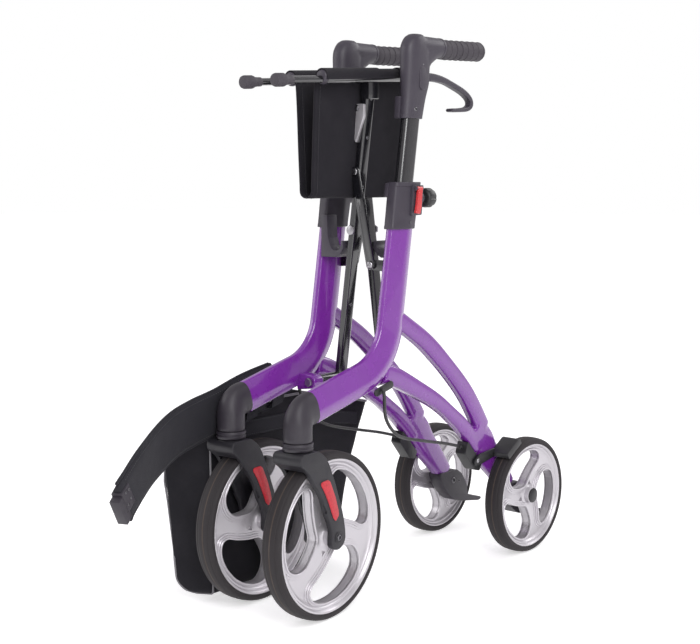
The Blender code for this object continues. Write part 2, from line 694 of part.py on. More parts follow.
def make_front_wheels():
    centre = (SIDE_X, WHEEL_Y, FRONT_WHEEL_RADIUS)

    def keep(thing, stem, finish):
        caster_pair(thing, stem, finish, "front_wheel", centre, FRONT_RIGHT_SPIN)

    make_wheel("front", SIDE_X, WHEEL_Y, FRONT_WHEEL_RADIUS, 0, keep)
    grip = FORK_HALF + RUNNING_GAP
    profile = [(-grip - AXLE_HEAD, 0), (-grip - AXLE_HEAD, AXLE_HEAD_RADIUS), (-grip, AXLE_HEAD_RADIUS),
               (-grip, AXLE_RADIUS), (grip, AXLE_RADIUS), (grip, AXLE_HEAD_RADIUS),
               (grip + AXLE_HEAD, AXLE_HEAD_RADIUS), (grip + AXLE_HEAD, 0)][::-1]
    axle = turned("front_axle_left", profile, centre, (1, 0, 0), 16)
    caster_pair(axle, "front_axle", STEEL, "caster", (SIDE_X, CASTER_Y, 0))


def make_rear_wheels():
    centre = (REAR_WHEEL_X, REAR_AXLE_Y, REAR_WHEEL_RADIUS)

    def keep(thing, stem, finish):
        pair(thing, stem, finish, "rear_wheel", centre)

    make_wheel("rear", REAR_WHEEL_X, REAR_AXLE_Y, REAR_WHEEL_RADIUS, REAR_SPIN, keep)
    start = FOOT_OUTER_X + GAP - REAR_WHEEL_X
    cap = TYRE_WIDTH / 2 - 0.001 + RUNNING_GAP
    profile = [(start, 0), (start, AXLE_RADIUS), (cap, AXLE_RADIUS), (cap, HUB_RADIUS - 0.001),
               (cap + 0.0035, HUB_RADIUS - 0.003), (cap + 0.0045, 0)][::-1]
    axle = turned("rear_axle_left", profile, centre, (1, 0, 0), 20)
    pair(axle, "rear_axle", CHARCOAL, "frame", (SIDE_X, 0, 0))


def smooth_route(guide, spacing):
    """Points read at an even spacing from a smooth curve through the guide points."""
    ends = [guide[0] * 2 - guide[1]] + guide + [guide[-1] * 2 - guide[-2]]
    fine = []
    for before, start, end, after in zip(ends, ends[1:], ends[2:], ends[3:]):
        for i in range(24):
            t = i / 24
            fine.append(0.5 * (2 * start + (end - before) * t
                               + (2 * before - 5 * start + 4 * end - after) * t ** 2
                               + (3 * start - before - 3 * end + after) * t ** 3))
    fine.append(guide[-1])
    lengths = [0.0]
    for near, far in zip(fine, fine[1:]):
        lengths.append(lengths[-1] + (far - near).length)
    count = max(2, round(lengths[-1] / spacing))
    route, k = [], 0
    for i in range(count + 1):
        target = lengths[-1] * i / count
        while k < len(fine) - 2 and lengths[k + 1] < target:
            k += 1
        share = (target - lengths[k]) / (lengths[k + 1] - lengths[k])
        route.append(tuple(fine[k].lerp(fine[k + 1], share)))
    return route


def make_brakes():
    """Housing below each leg, the shoe arm on it, and the cable from the frame's grommet."""
    side_low, side_high = SIDE_X - 0.010, SIDE_X + 0.0115
    housing = plate_across_x("brake_housing_left", [(0.1535, 0.2160), (0.1940, 0.1720), (0.1870, 0.1600),
                                                    (0.1720, 0.1640), (0.1450, 0.1960)], side_low, side_high)
    adjuster = cylinder("adjuster", (SIDE_X, 0.1530, 0.2050), CABLE_END, 0.0046, 12)
    housing = join(housing, adjuster)
    pair(housing, "brake_housing", CHARCOAL, "frame", (SIDE_X, 0, 0))
    angle = radians(121.3)
    out = Vector((cos(angle), sin(angle)))
    back = Vector((sin(angle), -cos(angle)))
    hub = Vector((REAR_AXLE_Y, REAR_WHEEL_RADIUS))
    near, far = REAR_WHEEL_RADIUS + 0.0014, REAR_WHEEL_RADIUS + 0.0140
    block = [hub + out * near - back * 0.022, hub + out * near + back * 0.022,
             hub + out * (far - 0.003) + back * 0.022, hub + out * far + back * 0.017,
             hub + out * far - back * 0.022]
    pivot = Vector((0.1760, 0.1800))
    face = side_high + RUNNING_GAP
    arm = plate_across_x("brake_shoe_left",
                         [tuple(pivot + Vector(p)) for p in ((-0.010, 0.001), (-0.007, -0.008),
                                                             (0.002, -0.009))]
                         + [tuple(block[0] + back * 0.006), tuple(block[4] + back * 0.010)]
                         + [tuple(pivot + Vector((0.004, 0.010)))], face, face + 0.0045)
    pad = plate_across_x("pad", [tuple(p) for p in block], face + 0.0005,
                         REAR_WHEEL_X + TYRE_WIDTH / 2 - 0.001)
    shoe = join(arm, pad)
    pair(shoe, "brake_shoe", BLACK_TUBE, "shoe", (SIDE_X, pivot.x, pivot.y))
    tilt = ARM_SLOPE * 180 / pi
    middle = Vector(GROMMET_MID)
    reach = Vector((cos(ARM_SLOPE), sin(ARM_SLOPE))) * (GROMMET_LENGTH / 2 - GROMMET_HALF)
    oval = arc_points(tuple(middle + reach), GROMMET_HALF, tilt - 90, tilt + 90, 7)
    oval += arc_points(tuple(middle - reach), GROMMET_HALF, tilt + 90, tilt + 270, 7)
    inner_x = SIDE_X + WISHBONE_WIDTH / 2 + GAP
    grommet = plate_across_x("cable_grommet_left", oval, inner_x, inner_x + GROMMET_DEPTH)
    pair(grommet, "cable_grommet", CHARCOAL, "frame", (SIDE_X, 0, 0))
    way_out = inner_x + GROMMET_DEPTH + GAP
    mouth = (way_out, -0.0800, 0.3350)
    guide = [Vector(p) for p in ((way_out + 0.0034, -0.0800, 0.3350), (0.0905, -0.0792, 0.3250),
                                 (0.0895, -0.0775, 0.3120), (0.0870, -0.0710, 0.2890),
                                 (0.0825, -0.0480, 0.2650), (0.0785, -0.0180, 0.2495),
                                 (0.0750, 0.0400, 0.2345), (0.0720, 0.0980, 0.2210), CABLE_END)]
    guide[-1] = guide[-1] + (guide[-1] - Vector((SIDE_X, 0.1530, 0.2050))).normalized() * GAP
    cable = tube_through("brake_cable_left", [mouth] + smooth_route(guide, 4 * CABLE_RADIUS), CABLE_RADIUS)
    pair(cable, "brake_cable", CABLE_SKIN, "frame", (SIDE_X, 0, 0))


def saddle_plate(name, low_y, high_y, rail_x, rail_seat_z):
    """The hook that takes the open rail, drawn for the left-hand side."""
    wall = SIDE_X - TUBE_HALF_WIDTH + 0.0070
    inner = RAIL_RADIUS + SADDLE_ROOM
    outline = [(wall, SLEEVE_LOW_Z + 0.020), (wall - 0.0125, SLEEVE_LOW_Z + 0.020),
               (rail_x + inner + 0.0040, rail_seat_z + 0.0080)]
    outline += arc_points((rail_x, rail_seat_z), inner, -10, -168, 8)
    outline += [(rail_x - inner - 0.0002, 0.5595), (rail_x - inner - 0.0040, 0.5590),
                (rail_x - inner - 0.0042, 0.5480), (rail_x - inner + 0.0030, 0.5375),
                (rail_x - 0.0010, 0.5330), (wall, 0.5330)]
    return plate_across_y(name, outline, low_y, high_y)


def make_sleeves():
    """Collar over the column's top, with the saddle that the open seat rail lands in beside its brace."""
    low = [(-0.0475, 0.0084), (-0.0380, 0.0112), (-0.0120, 0.0167), (0.0066, 0.0112)]
    high = [(-0.0370, 0.0088), (-0.0260, 0.0118), (-0.0010, 0.0170), (0.0205, 0.0118)]
    rings = []
    for z, half in ((SLEEVE_LOW_Z, low), (SLEEVE_TOP_Z, high)):
        rings.append([(SIDE_X + w, y, z) for y, w in half] + [(SIDE_X - w, y, z) for y, w in reversed(half)])
    sleeve = loft("sleeve_left", rings)
    room = frame_skin("column_room", COLUMN_TOP_Z + GAP, ARM_END_Y, GAP)
    bore = oval_column("sleeve_bore", COLUMN_TOP_Z - 0.02, SLEEVE_TOP_Z + 0.01,
                       INNER_TUBE_DEPTH + 2 * GAP, INNER_TUBE_WIDTH + 2 * GAP)
    knob_bore = cylinder("knob_bore", (SIDE_X, KNOB_Y - 0.0085, KNOB_Z), (SIDE_X, KNOB_Y + 0.02, KNOB_Z),
                         KNOB_STEM + GAP, 16)
    latch_room = cylinder("latch_room", (LATCH_X, LATCH_LOW_Y - GAP, LATCH_Z),
                          (LATCH_X, LATCH_HIGH_Y + GAP, LATCH_Z), LATCH_BARREL + 2 * GAP, 16)
    ears = [(SIDE_X + 0.014, LATCH_Z - 0.004), (LATCH_X, LATCH_Z - 0.0032), (LATCH_X + 0.0032, LATCH_Z),
            (LATCH_X, LATCH_Z + 0.0032), (SIDE_X + 0.014, LATCH_Z + 0.004)]
    front_ear = plate_across_y("front_ear", ears, LATCH_LOW_Y - GAP - 0.0025, LATCH_LOW_Y - GAP)
    rear_ear = plate_across_y("rear_ear", ears, LATCH_HIGH_Y + GAP, LATCH_HIGH_Y + GAP + 0.0025)
    latch_pin = cylinder("latch_pin", (LATCH_X, LATCH_LOW_Y - 0.001, LATCH_Z),
                         (LATCH_X, LATCH_HIGH_Y + 0.001, LATCH_Z), LATCH_PIN, 12)
    pad = plate_across_x("latch_pad", [(-0.0130, 0.6030), (0.0120, 0.6040), (0.0165, 0.6460),
                                       (-0.0090, 0.6460)],
                         SIDE_X + 0.008, SIDE_X + 0.0205)
    boss = cylinder("knob_boss", (SIDE_X, 0.0080, KNOB_Z), (SIDE_X, 0.0335, KNOB_Z), 0.0095, 20)
    sleeve = join(sleeve, pad, boss, front_ear, rear_ear)
    sleeve = carve(sleeve, room, bore, knob_bore, latch_room)
    sleeve = join(sleeve, latch_pin)
    left_saddle = carve(saddle_plate("saddle_left", *LEFT_SADDLE),
                        frame_skin("left_saddle_room", COLUMN_TOP_Z + GAP, ARM_END_Y, GAP))
    right_saddle = carve(saddle_plate("saddle_right", *RIGHT_SADDLE),
                         frame_skin("right_saddle_room", COLUMN_TOP_Z + GAP, ARM_END_Y, GAP))
    left = join(as_object("sleeve_left", sleeve.data.copy()), left_saddle)
    right = join(as_object("sleeve_right", sleeve.data.copy()), right_saddle)
    bpy.data.objects.remove(sleeve, do_unlink=True)
    left.name = "sleeve_left"
    place(left, CHARCOAL, "frame_left", (SIDE_X, 0, 0))
    far = mirrored(right, "sleeve_far")
    bpy.data.objects.remove(right, do_unlink=True)
    far.name = "sleeve_right"
    place(far, CHARCOAL, "frame_right", (-SIDE_X, 0, 0))
    knob = turned("height_knob_left", [(-0.008, 0), (-0.008, KNOB_STEM), (0.012, KNOB_STEM), (0.013, 0.0130),
                                       (0.017, 0.0155), (0.027, 0.0155), (0.030, 0.0130), (0.030, 0)][::-1],
                  (SIDE_X, KNOB_Y, KNOB_Z), (0, 1, 0), 24)
    pair(knob, "height_knob", CHARCOAL, "knob", (SIDE_X, KNOB_Y, KNOB_Z))
    latch = plate_across_x("height_latch_left", [(-0.0080, 0.6040), (0.0020, 0.6030), (0.0065, LATCH_Z),
                                                 (-0.0020, LATCH_Z), (-0.0100, 0.6100)],
                           LATCH_X - 0.0015, LATCH_X + 0.0025)
    barrel = cylinder("latch_barrel", (LATCH_X, LATCH_LOW_Y, LATCH_Z), (LATCH_X, LATCH_HIGH_Y, LATCH_Z),
                      LATCH_BARREL, 16)
    latch = join(latch, barrel)
    latch_bore = cylinder("latch_bore", (LATCH_X, LATCH_LOW_Y - 0.01, LATCH_Z),
                          (LATCH_X, LATCH_HIGH_Y + 0.01, LATCH_Z), LATCH_PIN + GAP, 12)
    latch = carve(latch, latch_bore)
    pair(latch, "height_latch", RED, "latch", (LATCH_X, 0.0030, LATCH_Z))


def shifted(piece, move):
    """The same piece, moved."""
    piece.data.transform(Matrix.Translation(move))
    return piece


def make_handles():
    """Inner tube, casting, grip and the looped brake lever of each side, seated on the tube's top."""
    top_z = INNER_TUBE_LOW_Z + INNER_TUBE_LENGTH
    seat = Vector((0, column_y(top_z) - column_y(HANDLE_DRAWN_TOP_Z), top_z - HANDLE_DRAWN_TOP_Z))
    inner = oval_column("inner_tube_left", INNER_TUBE_LOW_Z, top_z, INNER_TUBE_DEPTH, INNER_TUBE_WIDTH)
    pivot = (SIDE_X, column_y(top_z), top_z)
    pair(inner, "inner_tube", CHARCOAL, "height", pivot)
    rings = [[(SIDE_X + depth_x / 2 * cos(2 * pi * i / 24), middle + depth_y / 2 * sin(2 * pi * i / 24), z)
              for i in range(24)] for z, depth_x, depth_y, middle in CASTING_OVALS]
    casting = loft("handle_casting_left", rings)
    neck = cylinder("neck", (SIDE_X, 0.0100, CASTING_NECK_Z), (SIDE_X, GRIP_START_Y, CASTING_NECK_Z),
                    0.0160, 24)
    cover = plate_across_x("cover", [(0.0110, 0.7930), (0.0280, 0.7930), (0.0280, 0.8310), (0.0110, 0.8310)],
                           SIDE_X + 0.010, SIDE_X + 0.0162)
    casting = join(casting, neck, cover)
    rise = Vector((0, cos(GRIP_RISE), sin(GRIP_RISE)))
    start = Vector((SIDE_X, GRIP_START_Y, GRIP_Z))
    bar = cylinder("bar", start - rise * 0.020, start + rise * (GRIP_LENGTH - 0.012), GRIP_BAR_RADIUS, 18)
    casting = join(casting, bar)
    socket = oval_column("casting_socket", top_z - CASTING_DEPTH, top_z + GAP, INNER_TUBE_DEPTH + 2 * GAP,
                         INNER_TUBE_WIDTH + 2 * GAP)
    socket = shifted(socket, -seat)
    lever_slot = plate_across_x("lever_slot", [(0.0180, 0.8390), (0.0560, 0.8390), (0.0560, 0.7860),
                                               (0.0180, 0.7960)],
                                SIDE_X - 0.0072, SIDE_X + 0.0072)
    casting = shifted(carve(casting, socket, lever_slot), seat)
    pair(casting, "handle_casting", CHARCOAL, "height", pivot)
    bore = GRIP_BAR_RADIUS + GAP
    grip = shifted(grip_solid(start, rise, bore), seat)
    pair(grip, "grip", RUBBER, "height", pivot)
    lever_pivot = (0.0330, 0.8150)
    band = [(0.0330, 0.8150), (0.0620, 0.8160), (0.0900, 0.8130), (0.1170, 0.8060), (0.1440, 0.7970),
            (0.1600, 0.7870), (0.1625, 0.7770), (0.1520, 0.7705), (0.1300, 0.7680), (0.1070, 0.7670)]
    lever = flat_band("brake_lever_left", band, 0.0090, SIDE_X - 0.0064, SIDE_X + 0.0064)
    boss = cylinder("boss", (SIDE_X - 0.0064, *lever_pivot), (SIDE_X + 0.0064, *lever_pivot), 0.0080, 16)
    lever = shifted(join(lever, boss), seat)
    hinge = Vector((SIDE_X, *lever_pivot)) + seat
    pair(lever, "brake_lever", CHARCOAL, "lever", tuple(hinge))


def grip_solid(start, rise, bore):
    """The grip: a rubber sleeve with a closed end, open where the bar enters."""
    body = turned("grip_left", [(GRIP_LENGTH, 0), (GRIP_LENGTH, 0.0120), (GRIP_LENGTH - 0.004, GRIP_RADIUS),
                                (0.002, GRIP_RADIUS), (0.0008, GRIP_RADIUS - 0.001), (0.0008, 0)],
                  tuple(start), tuple(rise), 24)
    hole = cylinder("grip_bore", start - rise * 0.01, start + rise * (GRIP_LENGTH - 0.0115), bore, 18)
    return carve(body, hole)


def flat_band(name, path, depth, x_low, x_high):
    """A flat bar bent along a side-view path, with square edges."""
    points = [Vector(point) for point in path]
    upper, lower = [], []
    for i, centre in enumerate(points):
        run = points[min(i + 1, len(points) - 1)] - points[max(i - 1, 0)]
        normal = Vector((-run.y, run.x)).normalized() * depth / 2
        upper.append(tuple(centre + normal))
        lower.append(tuple(centre - normal))
    return plate_across_x(name, upper + lower[::-1], x_low, x_high)


def brace_point(side, distance, across=0.0):
    """A point in the front view on a folded brace; side is +1 for the one with its foot on the left frame."""
    lean = side * BRACE_LEAN
    return (-distance * sin(lean) + across * cos(lean), PIVOT_Z + distance * cos(lean) + across * sin(lean))


def make_braces():
    """The two crossed tubes, each with its hinge barrel below and the rail's cradle above."""
    for name, side, y, joint in (("brace_rear", 1, REAR_BRACE_Y, "fold"),
                                 ("brace_front", -1, FRONT_BRACE_Y, "pivot")):
        reach = BRACE_ARM - RAIL_RADIUS - 0.0012
        rings = []
        for distance in (-BRACE_ARM, reach):
            middle = brace_point(side, distance)
            section = stadium(BRACE_DEPTH, BRACE_WIDTH)
            ring = [(middle[0] + across * cos(side * BRACE_LEAN), y + along,
                     middle[1] + across * sin(side * BRACE_LEAN)) for along, across in section]
            rings.append(ring)
        tube = loft(name, rings)
        foot_x = side * HINGE_X
        back = y + BRACE_DEPTH / 2 + BARREL_PROUD
        barrel = cylinder("barrel", (foot_x, BARREL_FRONT_Y, HINGE_Z), (foot_x, back, HINGE_Z),
                          BARREL_RADIUS, 20)
        cradle_mid = brace_point(side, reach - 0.003)
        cradle_outline = [(cradle_mid[0] - 0.008, cradle_mid[1] - 0.012),
                          (cradle_mid[0] + 0.008, cradle_mid[1] - 0.012),
                          (cradle_mid[0] + 0.008, cradle_mid[1] + 0.008),
                          (cradle_mid[0] - 0.008, cradle_mid[1] + 0.008)]
        cradle = plate_across_y("cradle", cradle_outline, y - 0.022, y + 0.022)
        tube = join(tube, barrel, cradle)
        bore = cylinder("barrel_bore", (foot_x, BARREL_FRONT_Y - 0.01, HINGE_Z),
                        (foot_x, back + 0.01, HINGE_Z), HINGE_PIN_RADIUS + GAP, 16)
        pivot_bore = cylinder("pivot_bore", (0, y - 0.02, PIVOT_Z), (0, y + 0.02, PIVOT_Z),
                              PIVOT_RADIUS + GAP, 16)
        rail_room = rail_cylinder("rail_room", -side * HINGE_X, RAIL_RADIUS + GAP, 16)
        tube = carve(tube, bore, pivot_bore, rail_room)
        pivot = (HINGE_X, 0, HINGE_Z) if side > 0 else (0, 0, PIVOT_Z)
        place(tube, BLACK_TUBE, joint, pivot)


def rail_z(y):
    """Height of the rail's centre line, which rises to the rear."""
    return RAIL_Z + (y - FRONT_BRACE_Y) * tan(RAIL_TILT)


def rail_cylinder(name, x, radius, steps):
    start_y = RAIL_FRONT_Y + 0.004
    end_y = RAIL_FRONT_Y + RAIL_LENGTH + 0.004
    return cylinder(name, (x, start_y - 0.01, rail_z(start_y - 0.01)),
                    (x, end_y + 0.01, rail_z(end_y + 0.01)), radius, steps)


def make_seat():
    """Rails with domed caps, the rods ahead of them, and the two halves of the hanging seat cloth."""
    lean = Vector((0, cos(RAIL_TILT), sin(RAIL_TILT)))
    for word, side, body, pivot in (("left", 1, "pivot", (0, 0, PIVOT_Z)),
                                    ("right", -1, "fold", (HINGE_X, 0, HINGE_Z))):
        x = side * HINGE_X
        start = (x, RAIL_FRONT_Y, rail_z(RAIL_FRONT_Y))
        profile = [(0, 0), (0, 0.0060), (0.0015, 0.0092), (0.0045, RAIL_RADIUS),
                   (RAIL_LENGTH - 0.001, RAIL_RADIUS), (RAIL_LENGTH, RAIL_RADIUS - 0.001),
                   (RAIL_LENGTH, 0)][::-1]
        rail = turned("seat_rail_" + word, profile, start, tuple(lean), 24)
        place(rail, BLACK_TUBE, body, pivot)
        rod_end = Vector(start) - lean * GAP - Vector((0, 0, ROD_DROP))
        rod_profile = [(0, 0), (0, ROD_RADIUS), (ROD_REACH - TIP_LENGTH, ROD_RADIUS),
                       (ROD_REACH - TIP_LENGTH, TIP_RADIUS), (ROD_REACH - 0.002, TIP_RADIUS),
                       (ROD_REACH, TIP_RADIUS - 0.002), (ROD_REACH, 0)][::-1]
        rod = turned("rail_rod_" + word, rod_profile, tuple(rod_end), tuple(-lean), 18)
        place(rod, RUBBER, body, pivot)
        low = RAIL_Z - SEAT_DROP
        drape = [(side * 0.0193, RAIL_Z - 0.004), (side * 0.0190, RAIL_Z - 0.016), (side * 0.0044, 0.6760),
                 (side * 0.0034, low)]
        flap = hanging_sheet("seat_panel_" + word, drape)
        brace_y = FRONT_BRACE_Y if side > 0 else REAR_BRACE_Y
        ends = sorted((brace_y + side * (BRACE_DEPTH / 2 + 0.0035),
                       brace_y - side * 0.0145 - side * BRACE_DEPTH / 2))
        notch = plate_across_y("seat_notch_" + word, [(-0.03, low - 0.01), (0.03, low - 0.01), (0.03,
                                                                                                0.674),
                                                                                                (-0.03,
                                                                                                 0.674)],
                               ends[0], ends[1])
        flap = carve(flap, notch)
        place(flap, FABRIC, "seat_flap_" + word, (x, 0, RAIL_Z))


def hanging_sheet(name, drape):
    """A sheet of constant thickness along a front-view path of (X, Z) points."""
    points = [Vector(point) for point in drape]
    outer, inner = [], []
    for i, centre in enumerate(points):
        run = points[min(i + 1, len(points) - 1)] - points[max(i - 1, 0)]
        normal = Vector((-run.y, run.x)).normalized() * SEAT_THICKNESS / 2
        outer.append(tuple(centre + normal))
        inner.append(tuple(centre - normal))
    return plate_across_y(name, outer + inner[::-1], SEAT_FRONT_Y, SEAT_FRONT_Y + SEAT_LENGTH)


def make_pivot_bolt():
    """The bolt that the braces cross on, with its spacer and nut."""
    front = FRONT_BRACE_Y - BRACE_DEPTH / 2 - GAP
    mid_low = FRONT_BRACE_Y + BRACE_DEPTH / 2 + GAP
    mid_high = REAR_BRACE_Y - BRACE_DEPTH / 2 - GAP
    back = REAR_BRACE_Y + BRACE_DEPTH / 2 + GAP
    stations = [(front - 0.0035, 0), (front - 0.0035, 0.0080), (front, 0.0080), (front, PIVOT_RADIUS),
                (mid_low, PIVOT_RADIUS), (mid_low, 0.0070), (mid_high, 0.0070), (mid_high, PIVOT_RADIUS),
                (back, PIVOT_RADIUS), (back, 0.0070), (back + 0.0040, 0.0070), (back + 0.0040, 0)][::-1]
    bolt = turned("pivot_bolt", stations, (0, 0, PIVOT_Z), (0, 1, 0), 18)
    place(bolt, STEEL, "fold", (HINGE_X, 0, HINGE_Z))


def make_links():
    """The flat bars between each frame's tab and its brace's upper pin."""
    top_x = (LINK_TOP_Z - PIVOT_Z) * tan(BRACE_LEAN)
    foot = Vector((LINK_FOOT_X, LINK_FOOT_Z))
    top = Vector((top_x, LINK_TOP_Z))
    up = atan2(top.y - foot.y, top.x - foot.x)
    half = LINK_WIDTH / 2
    angle = up * 180 / pi
    outline = arc_points(tuple(foot), half, angle + 90, angle + 270, 8)
    outline += arc_points(tuple(top), half, angle - 90, angle + 90, 8)
    for word, side in (("left", 1), ("right", -1)):
        front, back, way = link_tab(side)
        near = (front if way < 0 else back) + way * RUNNING_GAP
        far = near + way * LINK_THICKNESS
        bar = plate_across_y("link_arm_" + word, outline, min(near, far), max(near, far))
        boss_end = near - way * LINK_BOSS
        boss = cylinder("boss", (top_x, boss_end, LINK_TOP_Z), (top_x, far + way * 0.0025, LINK_TOP_Z),
                        0.0048, 14)
        bar = join(bar, boss)
        hole = cylinder("link_hole", (LINK_FOOT_X, near - 0.02, LINK_FOOT_Z),
                        (LINK_FOOT_X, near + 0.02, LINK_FOOT_Z), LINK_PIN_RADIUS + GAP, 14)
        bar = carve(bar, hole)
        if side < 0:
            flipped = mirrored(bar, "flipped")
            bpy.data.objects.remove(bar, do_unlink=True)
            flipped.name = "link_arm_right"
            bar = flipped
        place(bar, BLACK_TUBE, "link_" + word, (side * LINK_FOOT_X, 0, LINK_FOOT_Z))


def bag_ring(z, inset, shrink, drop=0.0):
    """An outline of the bag at one height: the front leans out and the rear edge slants in below."""
    middle_x = (BAG_NEAR_X + BAG_FAR_X) / 2
    near = middle_x + (BAG_NEAR_X - inset - middle_x) * shrink
    far = middle_x + (BAG_FAR_X + inset - middle_x) * shrink
    ends = 0.5 * (BAG_NEAR_X - BAG_FAR_X) * (1 - shrink) + inset
    front, rear = BAG_FRONT_Y + ends, BAG_REAR_Y - (BAG_TOP_Z - z) * BAG_REAR_TAPER - ends
    plan = [(near, front + 0.008), (near - 0.006, front), (far + 0.012, front - BAG_SLANT),
            (far, front - BAG_SLANT + 0.010), (far, rear - 0.010), (far + 0.010, rear),
            (near - 0.010, rear), (near, rear - 0.010)]
    return [(x, y, z - drop * max(0.0, (y + 0.05) / 0.155)) for x, y in plan]


def make_bag():
    """A soft box, open at the top, that hangs from the right arm, outside the right front wheel."""
    outside = [bag_ring(BAG_LOW_Z, 0, 0.70), bag_ring(BAG_LOW_Z + 0.010, 0, 0.93),
               bag_ring(BAG_LOW_Z + 0.028, 0, 1.0), bag_ring(0.200, 0, 1.0),
               bag_ring(BAG_TOP_Z, 0, 1.0, BAG_TOP_DROP)]
    inside = [bag_ring(BAG_LOW_Z + BAG_WALL, BAG_WALL, 0.70), bag_ring(BAG_LOW_Z + 0.012, BAG_WALL, 0.93),
              bag_ring(BAG_LOW_Z + 0.029, BAG_WALL, 1.0), bag_ring(0.200, BAG_WALL, 1.0),
              bag_ring(BAG_TOP_Z, BAG_WALL, 1.0, BAG_TOP_DROP)]
    bag = loft("bag", outside + inside[::-1])
    slope = tan(ARM_SLOPE)
    for y in STRAP_PLACES:
        under = ARM_MID_Z + (y - ARM_MID_Y) * slope - (TUBE_DEPTH / 2 + GAP) / cos(ARM_SLOPE)
        profile = [(BAG_NEAR_X - 0.0020, under - 0.0360), (BAG_NEAR_X - 0.0020, under - 0.0235),
                   (-0.0860, under - 0.0215), (-0.0795, under), (-0.0630, under), (-0.0630, under - 0.0018),
                   (-0.0785, under - 0.0018), (-0.0845, under - 0.0235),
                   (BAG_NEAR_X - 0.0004, under - 0.0255), (BAG_NEAR_X - 0.0004, under - 0.0360)]
        rings = [[(x, y + step, z + step * slope) for x, z in profile] for step in (0, STRAP_WIDTH)]
        bag = join(bag, loft("strap", rings))
    place(bag, FABRIC, "frame_right", (-SIDE_X, 0, 0))


def make_backrest():
    """The padded back band, fixed beside the right arm and hanging out over the bag."""
    path = [(-0.0990, -0.1300, 0.3420), (-0.0995, -0.1900, 0.3330), (-0.0985, -0.2500, 0.3150),
            (-0.0900, -0.3080, 0.3060), (-0.0740, -0.3600, 0.2950), (-0.0520, -0.4120, 0.2780),
            (-0.0240, -0.4620, 0.2550), (-0.0020, -0.5030, 0.2350), (0.0050, -0.5200, 0.2260)]
    points = [Vector(point) for point in path]
    rings = []
    for i, centre in enumerate(points):
        run = (points[min(i + 1, len(points) - 1)] - points[max(i - 1, 0)]).normalized()
        flat = Vector((run.y, -run.x, 0)).normalized()
        up = run.cross(flat).normalized()
        if up.z < 0:
            up.negate()
        high, thick = BAND_WIDTH / 2, BAND_THICKNESS / 2
        ring = [centre + up * u * high + flat * v * thick for u, v in
                ((1, -0.4), (1, 0.4), (0.8, 1), (-0.8, 1), (-1, 0.4), (-1, -0.4), (-0.8, -1), (0.8, -1))]
        rings.append(ring)
    band = loft("backrest_band", rings)
    peg = cylinder("peg", (-SIDE_X - TUBE_HALF_WIDTH - 2 * GAP, -0.1400, 0.3400),
                   (-0.0990, -0.1400, 0.3400), 0.009, 14)
    band = join(band, peg)
    place(band, FABRIC, "frame_right", (-SIDE_X, 0, 0))


clear_scene()
PARTS = new_collection("rollator")
CUTTERS = new_collection("cutters")
make_frame_tubes()
make_wishbones()
make_rear_feet()
make_caster_elbows()
make_forks()
make_front_wheels()
make_rear_wheels()
make_brakes()
make_sleeves()
make_handles()
make_braces()
make_seat()
make_pivot_bolt()
make_links()
make_bag()
make_backrest()
for hanger in PARTS.objects:
    if hanger.parent is None:
        hanger.location.x -= ORIGIN_X
        hanger.location.y -= ORIGIN_Y
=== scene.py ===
import bmesh
import bpy
import json
from math import acos, atan2, cos, pi, radians, sin, tan
from mathutils import Matrix, Vector, noise

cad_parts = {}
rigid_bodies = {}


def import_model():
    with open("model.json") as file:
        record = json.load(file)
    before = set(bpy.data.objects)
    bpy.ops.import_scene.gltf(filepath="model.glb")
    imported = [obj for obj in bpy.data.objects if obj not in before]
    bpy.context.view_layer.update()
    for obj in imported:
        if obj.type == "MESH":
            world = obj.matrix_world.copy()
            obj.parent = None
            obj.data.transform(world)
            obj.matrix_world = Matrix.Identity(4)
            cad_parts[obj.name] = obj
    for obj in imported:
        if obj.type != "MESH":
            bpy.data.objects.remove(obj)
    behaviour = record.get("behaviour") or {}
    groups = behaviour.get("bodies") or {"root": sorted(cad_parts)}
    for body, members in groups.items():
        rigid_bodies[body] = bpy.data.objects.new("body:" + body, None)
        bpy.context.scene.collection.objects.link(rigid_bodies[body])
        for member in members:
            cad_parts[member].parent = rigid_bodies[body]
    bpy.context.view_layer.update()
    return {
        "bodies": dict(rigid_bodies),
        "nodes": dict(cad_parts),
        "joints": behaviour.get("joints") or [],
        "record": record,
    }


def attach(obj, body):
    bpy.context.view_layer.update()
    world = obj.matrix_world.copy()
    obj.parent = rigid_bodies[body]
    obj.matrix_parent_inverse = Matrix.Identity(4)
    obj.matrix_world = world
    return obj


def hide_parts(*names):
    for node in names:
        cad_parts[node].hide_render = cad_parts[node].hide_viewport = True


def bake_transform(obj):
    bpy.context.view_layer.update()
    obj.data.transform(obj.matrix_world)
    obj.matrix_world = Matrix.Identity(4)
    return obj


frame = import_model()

sideX = 0.07                     # middle of each side frame
# pieces are drawn about the frame's own zero, then moved by this
originShift = Vector((0.0237, 0.0677, 0))
casterY = -0.25                  # the axis that each caster swivels about
casterYaw = radians(4.4)          # both front wheels stand turned a little the same way
columnTilt = radians(8.98)        # the columns lean back
armSlope = radians(14.5)          # the forward arms fall towards the casters
tubeOff = 0.0015                  # the inner tube stands this far behind the column's middle
sideWords = ((1, "left"), (-1, "right"))
pieceGroup = bpy.data.collections.new("rollator pieces")
bpy.context.scene.collection.children.link(pieceGroup)
print("frame loaded,", len(frame["nodes"]), "nodes")


def addObject(name, mesh):
    made = bpy.data.objects.new(name, mesh)
    pieceGroup.objects.link(made)
    return made


def fromBmesh(name, shape):
    bmesh.ops.remove_doubles(shape, verts=shape.verts, dist=1e-6)
    bmesh.ops.recalc_face_normals(shape, faces=shape.faces)
    mesh = bpy.data.meshes.new(name)
    shape.to_mesh(mesh)
    shape.free()
    return addObject(name, mesh)


